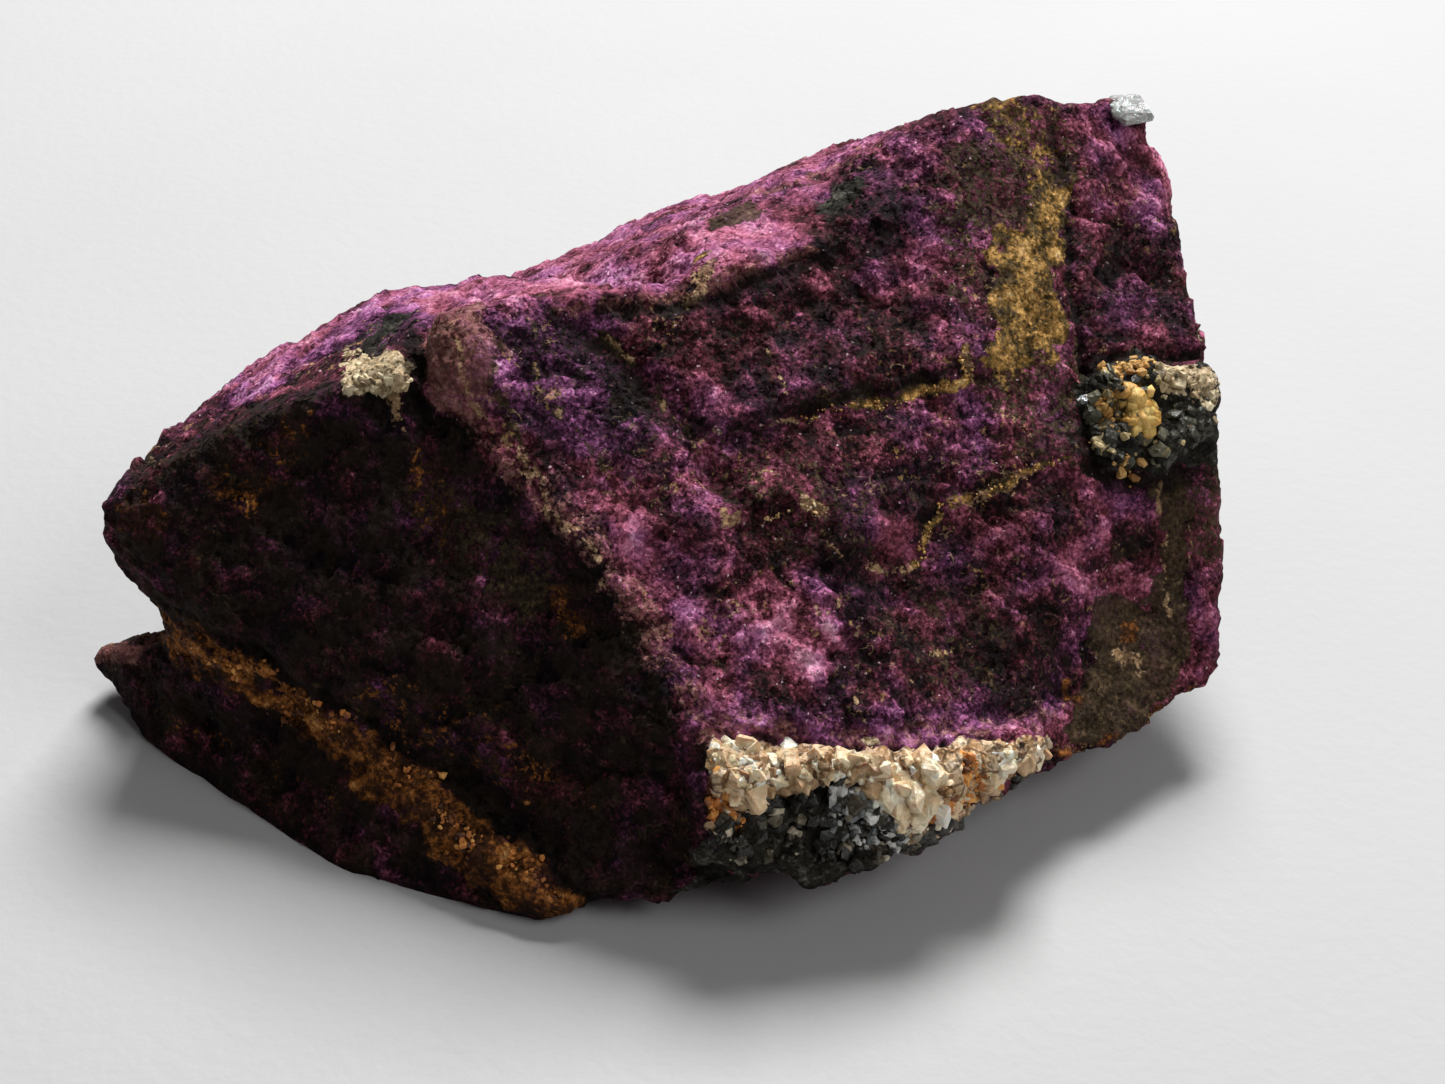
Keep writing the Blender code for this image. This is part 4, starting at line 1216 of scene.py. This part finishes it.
def read_surface(mesh: bpy.types.Mesh) -> tuple[np.ndarray, np.ndarray]:
    """Reads a mesh's vertices.

    Args:
        mesh: The mesh.

    Returns:
        Rows of places in metres, and rows of outward directions.
    """
    readings = []
    for name in ("co", "normal"):
        values = np.empty(len(mesh.vertices) * 3, np.float32)
        mesh.vertices.foreach_get(name, values)
        readings.append(values.reshape(-1, 3))
    return readings[0].astype(float), readings[1]


def keep_values(mesh: bpy.types.Mesh, name: str, values: np.ndarray) -> None:
    """Keeps a number for every vertex on a mesh, for its material to read."""
    kept = mesh.attributes.new(name, "FLOAT", "POINT")
    kept.data.foreach_set("value", values.astype(np.float32))


def noise_field(places: np.ndarray, width: float) -> np.ndarray:
    """Smooth noise at every place, from -1 to 1, with swells of a width in millimetres."""
    return np.array([noise.noise(Vector(place) / (width * MM)) for place in places])


def wander(place: Sequence[float]) -> Vector:
    """How far a marking strays from its drawn route.

    Args:
        place: Where, in metres.

    Returns:
        The shift in metres.
    """
    spot = Vector(place) / MM
    return (noise.noise_vector(spot / 2.3) * 0.55 + noise.noise_vector(spot / 0.7) * 0.22) * MM


def cell_facet(place: Sequence[float], width: float) -> float:
    """Relief of flat crystal faces that each tilt and stand out a little differently.

    Args:
        place: Where, in metres.
        width: The faces' usual width, in millimetres.

    Returns:
        The relief in millimetres.
    """
    spot = Vector(place) / (width * MM)
    spot += noise.noise_vector(spot * 1.3) * 0.35
    middle = noise.voronoi(spot)[1][0]
    tilt = noise.cell_vector(middle * 17.3)
    return width * (0.24 * tilt.dot(spot - middle) + 0.045 * tilt.x)


def facet_field(places: np.ndarray, width: float) -> np.ndarray:
    """The relief of crystal faces of a width in millimetres, at every place."""
    return np.array([cell_facet(place, width) for place in places])


def inside_distance(pixels: np.ndarray, outline: Sequence[Pixel]) -> np.ndarray:
    """How far points lie inside an outline.

    Args:
        pixels: Rows of x and y.
        outline: The outline's corners.

    Returns:
        Distances to the outline, below zero outside it.
    """
    nearest = np.full(len(pixels), np.inf)
    inside = np.zeros(len(pixels), bool)
    corners = np.array(outline, float)
    for start, end in zip(corners, np.roll(corners, -1, axis=0)):
        run = end - start
        share = np.clip((pixels - start) @ run / (run @ run), 0.0, 1.0)
        gap = np.linalg.norm(pixels - (start + share[:, None] * run), axis=1)
        nearest = np.minimum(nearest, gap)
        crosses = (start[1] > pixels[:, 1]) != (end[1] > pixels[:, 1])
        height = np.where(end[1] == start[1], 1.0, end[1] - start[1])
        at = start[0] + (pixels[:, 1] - start[1]) / height * run[0]
        inside ^= crosses & (pixels[:, 0] < at)
    return np.where(inside, nearest, -nearest)


def nearest_distance(places: np.ndarray, points: np.ndarray, reach: float) -> np.ndarray:
    """The distance from places to the nearest of some points.

    Args:
        places: Rows of x, y and z.
        points: Rows of x, y and z.
        reach: The distance past which it doesn't matter.

    Returns:
        Distances, all of them at most a little past the reach.
    """
    found = np.full(len(places), reach * 2.0)
    low, high = points.min(axis=0) - reach, points.max(axis=0) + reach
    close = np.all((places > low) & (places < high), axis=1)
    near = places[close]
    best = np.full(len(near), reach * 2.0)
    for point in points:
        best = np.minimum(best, np.linalg.norm(near - point, axis=1))
    found[close] = best
    return found


@dataclass
class GrainBed:
    """A bed of crystal grains or crumbs, joined into one piece.

    The bed lies between an upper and a lower edge in pixels, or along named markings.
    """

    BLOCK_SIZE = 1.7
    LUMP_RADIUS = 1.1
    WIDTHS = (0.6, 1.25)
    HEIGHTS = (0.5, 1.0)
    CORNERS = (0.62, 1.12)
    WEAR = (0.12, 0.34)

    name: str
    slot: str
    finish: GrainFinish
    count: int
    half_size: tuple[float, float]
    upper: tuple[Pixel, ...] = ()
    lower: tuple[Pixel, ...] = ()
    markings: tuple[str, ...] = ()
    spread: float = 0.5
    sink: float = 0.25
    tone: tuple[float, float] = (0.0, 1.0)
    darkness: float = 1.0
    flatness: float = 1.0
    lean: float = 0.35
    blockiness: float = 0.4
    smooth: bool = False
    seed: int = 1

    def build(self, skin: StoneSkin) -> bpy.types.Object:
        """Makes the bed.

        Args:
            skin: The stone's skin, which the grains sit in.

        Returns:
            The finished piece.
        """
        chooser = random.Random(self.seed)
        shape = bmesh.new()
        tones = shape.verts.layers.float.new("tone")
        for place, facing in self._seats(skin, chooser):
            self._add_grain(shape, tones, place, facing, chooser)
        bmesh.ops.recalc_face_normals(shape, faces=shape.faces)
        mesh = bpy.data.meshes.new(self.name)
        shape.to_mesh(mesh)
        shape.free()
        if self.smooth:
            mesh.shade_smooth()
        piece = bpy.data.objects.new(self.name, mesh)
        bpy.context.scene.collection.objects.link(piece)
        mesh.materials.append(self.finish.material())
        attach(piece, "root")
        return piece

    def _seats(self, skin: StoneSkin, chooser: random.Random) -> list[tuple[Vector, Vector]]:
        """Chooses where the grains sit.

        Args:
            skin: The stone's skin.
            chooser: The bed's seeded random numbers.

        Returns:
            Points on the stone and the outward directions there.
        """
        seats = []
        if self.upper:
            for _ in range(self.count):
                share, down = chooser.random(), chooser.random()
                top, foot = along(self.upper, share), along(self.lower, share)
                hit = skin.cast(between(top, foot, down))
                if hit is not None:
                    seats.append(hit)
            return seats
        chosen = [line for line in LINES if line.name in self.markings]
        points = [point for line in chosen for point in skin.route_points(line)]
        for _ in range(self.count):
            stray = Vector([chooser.gauss(0.0, self.spread) for _ in range(3)]) * MM
            point = chooser.choice(points)
            place, facing, _, _ = skin.tree.find_nearest(point - wander(point) + stray)
            seats.append((place, facing))
        return seats

    def _add_grain(self, shape: bmesh.types.BMesh, tones: bmesh.types.BMLayerItem, place: Vector,
                   facing: Vector, chooser: random.Random) -> None:
        """Adds one grain: a block or lump with uneven corners, turned at random and sunk in its bed.

        Args:
            shape: The bed's mesh.
            tones: The layer that keeps each grain's tone.
            place: Where it sits.
            facing: The outward direction there.
            chooser: The bed's seeded random numbers.
        """
        smallest, largest = self.half_size
        size = (smallest + (largest - smallest) * chooser.random() ** 1.6) * MM
        turn = facing.to_track_quat("Z", "Y").to_matrix()
        spin = Matrix.Rotation(chooser.uniform(0.0, math.tau), 3, "Z")
        lean = Matrix.Rotation(chooser.gauss(0.0, self.lean), 3, "X")
        lean @= Matrix.Rotation(chooser.gauss(0.0, self.lean), 3, "Y")
        blocky = chooser.random() < self.blockiness
        if blocky:
            made = bmesh.ops.create_cube(shape, size=self.BLOCK_SIZE)["verts"]
        else:
            made = bmesh.ops.create_icosphere(shape, subdivisions=1, radius=self.LUMP_RADIUS)["verts"]
        limits = (self.WIDTHS, self.WIDTHS, self.HEIGHTS)
        stretch = Vector([chooser.uniform(*pair) for pair in limits])
        stretch.z *= self.flatness
        for vert in made:
            uneven = Vector([chooser.uniform(*self.CORNERS) for _ in range(3)])
            vert.co = vert.co * stretch * uneven * size
        if blocky:
            edges = list({edge for vert in made for edge in vert.link_edges})
            wear = size * chooser.uniform(*self.WEAR)
            made = bmesh.ops.bevel(shape, geom=edges, offset=wear, segments=1, profile=0.5,
                                   affect="EDGES", material=-1, clamp_overlap=True)["verts"]
        seat = place + facing * (size * stretch.z * (1.0 - 2.0 * self.sink))
        darkest, palest = self.tone
        tone = darkest + (palest - darkest) * chooser.random() ** self.darkness
        corners = [turn @ spin @ lean @ vert.co + seat for vert in made]
        inward = into_box(corners)
        for vert, corner in zip(made, corners):
            vert.co = corner + inward
            vert[tones] = tone


def into_box(corners: Sequence[Vector]) -> Vector:
    """Finds the way back into the solid's box for a shape that reaches past it.

    Args:
        corners: The shape's corners, in metres.

    Returns:
        The shift that brings them inside, in metres.
    """
    low, high = SOLID_BOX
    return Vector([
        max(0.0, low[axis] - min(corner[axis] for corner in corners))
        - max(0.0, max(corner[axis] for corner in corners) - high[axis])
        for axis in range(3)
    ])


def between(start: Pixel, end: Pixel, share: float) -> Pixel:
    """The pixel at a share of the way from one to another."""
    return start[0] + (end[0] - start[0]) * share, start[1] + (end[1] - start[1]) * share


def along(route: Sequence[Pixel], share: float) -> Pixel:
    """The point at a share of the way along a route.

    Args:
        route: The route's points.
        share: From 0 to 1.

    Returns:
        The point.
    """
    spot = share * (len(route) - 1)
    index = min(int(spot), len(route) - 2)
    return between(route[index], route[index + 1], spot - index)


SEAM_TOP = ((709, 738), (745, 746), (800, 749), (836, 759), (876, 755), (929, 755), (991, 752),
            (1040, 742))
SEAM_MIDDLE = ((726, 808), (740, 805), (792, 790), (835, 777), (872, 792), (905, 830), (955, 822),
               (1046, 752))
SEAM_FOOT = ((712, 850), (745, 862), (800, 868), (860, 868), (890, 860), (930, 842), (975, 812),
             (1050, 764))
POCKET_TOP = ((1084, 380), (1112, 366), (1160, 370), (1212, 380))
POCKET_FOOT = ((1088, 444), (1122, 464), (1160, 466), (1208, 438))

BEDS = (
    GrainBed("seam_quartz", "quartz_feldspar", QUARTZ_FINISH, 150, (0.36, 0.8), SEAM_TOP, SEAM_MIDDLE,
             sink=0.7, tone=(0.15, 1.0), lean=0.6, seed=11),
    GrainBed("seam_fine_quartz", "quartz_feldspar", QUARTZ_FINISH, 380, (0.1, 0.3), SEAM_TOP,
             SEAM_MIDDLE, sink=0.42, tone=(0.0, 0.95), lean=0.6, seed=12),
    GrainBed("seam_nugget", "quartz_feldspar", QUARTZ_FINISH, 46, (0.45, 0.95), ((872, 764), (905, 760),
             (940, 762)), ((880, 800), (915, 828), (950, 815)), sink=0.55, tone=(0.55, 1.0), lean=0.6,
             seed=18),
    GrainBed("seam_dark_grains", "quartz_feldspar", FOOT_FINISH, 330, (0.1, 0.48), SEAM_MIDDLE,
             SEAM_FOOT, sink=0.52, darkness=2.9, lean=0.7, seed=13),
    GrainBed("seam_glassy_grains", "quartz_feldspar", GLASSY_FINISH, 130, (0.1, 0.4), ((836, 776),
             (870, 784), (900, 812)), ((826, 826), (870, 852), (905, 848)), sink=0.52, lean=0.7,
             seed=17),
    GrainBed("seam_rusty_grains", "ochre_crust", RUST_FINISH, 240, (0.08, 0.38),
             markings=("seam's rust", "seam's low rust", "seam's left rust"), spread=0.26, sink=0.52,
             tone=(0.35, 1.0), lean=0.6, seed=14),
    GrainBed("pocket_crystals", "quartz_feldspar", POCKET_FINISH, 170, (0.14, 0.55), POCKET_TOP,
             POCKET_FOOT, sink=0.68, tone=(0.0, 0.92), darkness=1.5, lean=0.7, seed=21),
    GrainBed("pocket_ochre", "ochre_crust", CRUST_FINISH, 150, (0.08, 0.34), markings=("pocket's ochre",
             "pocket's top", "pocket's foot", "pocket's left"), spread=0.34, sink=0.55, tone=(0.4, 1.0),
             lean=0.6, seed=22),
    GrainBed("pocket_gold", "ochre_crust", GOLD_FINISH, 70, (0.26, 0.62), markings=("pocket's ochre",),
             spread=0.34, sink=0.6, tone=(0.3, 1.0), lean=0.6, blockiness=0.0, smooth=True, seed=24),
    GrainBed("pocket_glint", "quartz_feldspar", CLEAR_FINISH, 3, (0.3, 0.45), ((1080, 400),
             (1086, 400)), ((1080, 404), (1086, 404)), sink=0.3, seed=25),
    GrainBed("pocket_cream", "quartz_feldspar", CREAM_FINISH, 100, (0.1, 0.38),
             markings=("pocket's right",), spread=0.38, sink=0.5, lean=0.6, seed=23),
    GrainBed("crack_crumbs", "ochre_crust", CRUST_FINISH, 260, (0.04, 0.12), markings=("ochre crack",
             "lower crack", "crack's pale end", "crack crumb"), spread=0.14, sink=0.45, tone=(0.2, 1.0),
             lean=0.7, seed=31),
    GrainBed("vein_crumbs", "ochre_crust", RUST_FINISH, 420, (0.05, 0.22),
             markings=("vein's light edge", "vein's middle", "vein's end"), spread=0.28, sink=0.55,
             tone=(0.1, 1.0), lean=0.6, seed=15),
    GrainBed("back_quartz", "quartz_feldspar", QUARTZ_FINISH, 130, (0.1, 0.55),
             markings=("seam on the back",), spread=0.4, sink=0.56, tone=(0.1, 0.95), lean=0.6,
             seed=16),
    GrainBed("cream_crust", "quartz_feldspar", CREAM_FINISH, 300, (0.1, 0.34), ((346, 350), (366, 353),
             (410, 378)), ((343, 376), (372, 392), (406, 388)), flatness=0.5, sink=0.44, lean=0.5,
             seed=41),
    GrainBed("corner_crystal", "quartz_feldspar", CLEAR_FINISH, 2, (1.0, 1.1), ((1112, 107),
             (1130, 108)), ((1114, 109), (1132, 110)), sink=0.6, flatness=0.4, lean=0.08,
             blockiness=1.0, seed=54),
    GrainBed("pale_curls", "quartz_feldspar", CURL_FINISH, 60, (0.04, 0.13), markings=("first curl",
             "second curl", "third curl", "seam curl"), spread=0.12, flatness=0.6, tone=(0.2, 1.0),
             lean=0.8, seed=61),
)


@dataclass
class Studio:
    """The pale floor, the soft light and the camera."""

    eye: PhotoEye
    floor_half: float = 0.9
    floor_tone: float = 0.50
    key_from: Place = (0.12, 0.62, 0.78)
    fill_from: Place = (0.75, -0.35, 0.8)
    key_distance: float = 0.55
    key_size: float = 0.22
    key_power: float = 4.8
    fill_distance: float = 0.6
    fill_size: float = 0.3
    fill_power: float = 1.1
    sky: float = 0.08

    def build(self) -> None:
        """Sets up the floor, the lights and the camera."""
        self.eye.place_camera()
        self._floor()
        self._lamp("key", Vector(self.key_from), self.key_distance, self.key_size, self.key_power)
        self._lamp("fill", Vector(self.fill_from), self.fill_distance, self.fill_size, self.fill_power)
        world = bpy.data.worlds.new("studio air")
        world.use_nodes = True
        air = world.node_tree.nodes["Background"]
        air.inputs["Color"].default_value = (1.0, 1.0, 1.0, 1.0)
        air.inputs["Strength"].default_value = self.sky
        bpy.context.scene.world = world
        bpy.context.scene.view_settings.view_transform = "Standard"

    def _floor(self) -> None:
        """Lays the floor."""
        shape = bmesh.new()
        bmesh.ops.create_grid(shape, x_segments=1, y_segments=1, size=self.floor_half)
        mesh = bpy.data.meshes.new("floor")
        shape.to_mesh(mesh)
        shape.free()
        floor = bpy.data.objects.new("floor", mesh)
        bpy.context.scene.collection.objects.link(floor)
        sketch = Sketch("pale floor")
        cloud = sketch.step(sketch.grain(30.0, 4.0), -1.0, 1.0)
        shade = sketch.mix(cloud, (self.floor_tone * 0.96,) * 3, (self.floor_tone,) * 3)
        mesh.materials.append(sketch.finish(shade, 0.75, sketch.bump(0.01 * sketch.grain(0.8))))

    @staticmethod
    def _lamp(name: str, direction: Vector, distance: float, size: float, power: float) -> None:
        """Adds one soft square lamp that looks at the stone.

        Args:
            name: The lamp's name.
            direction: Where it stands, seen from the stone.
            distance: How far away, in metres.
            size: Its side, in metres.
            power: Its power, in watts.
        """
        data = bpy.data.lights.new(name, "AREA")
        data.shape = "SQUARE"
        data.size = size
        data.energy = power
        lamp = bpy.data.objects.new(name, data)
        lamp.location = direction.normalized() * distance
        lamp.rotation_mode = "QUATERNION"
        lamp.rotation_quaternion = direction.to_track_quat("Z", "Y")
        bpy.context.scene.collection.objects.link(lamp)


def report(piece: bpy.types.Object) -> None:
    """Logs a finished piece and its triangles."""
    piece.data.calc_loop_triangles()
    LOG.info("%s: %d triangles", piece.name, len(piece.data.loop_triangles))


def main() -> None:
    """Builds the studio, the skin and the grain beds, in that order."""
    logging.basicConfig(level=logging.INFO, format="%(name)s: %(message)s")
    noise.seed_set(NOISE_SEED)
    eye = PhotoEye()
    Studio(eye).build()
    skin = StoneSkin(eye)
    report(skin.build())
    for bed in BEDS:
        report(bed.build(skin))


if __name__ == "__main__":
    main()
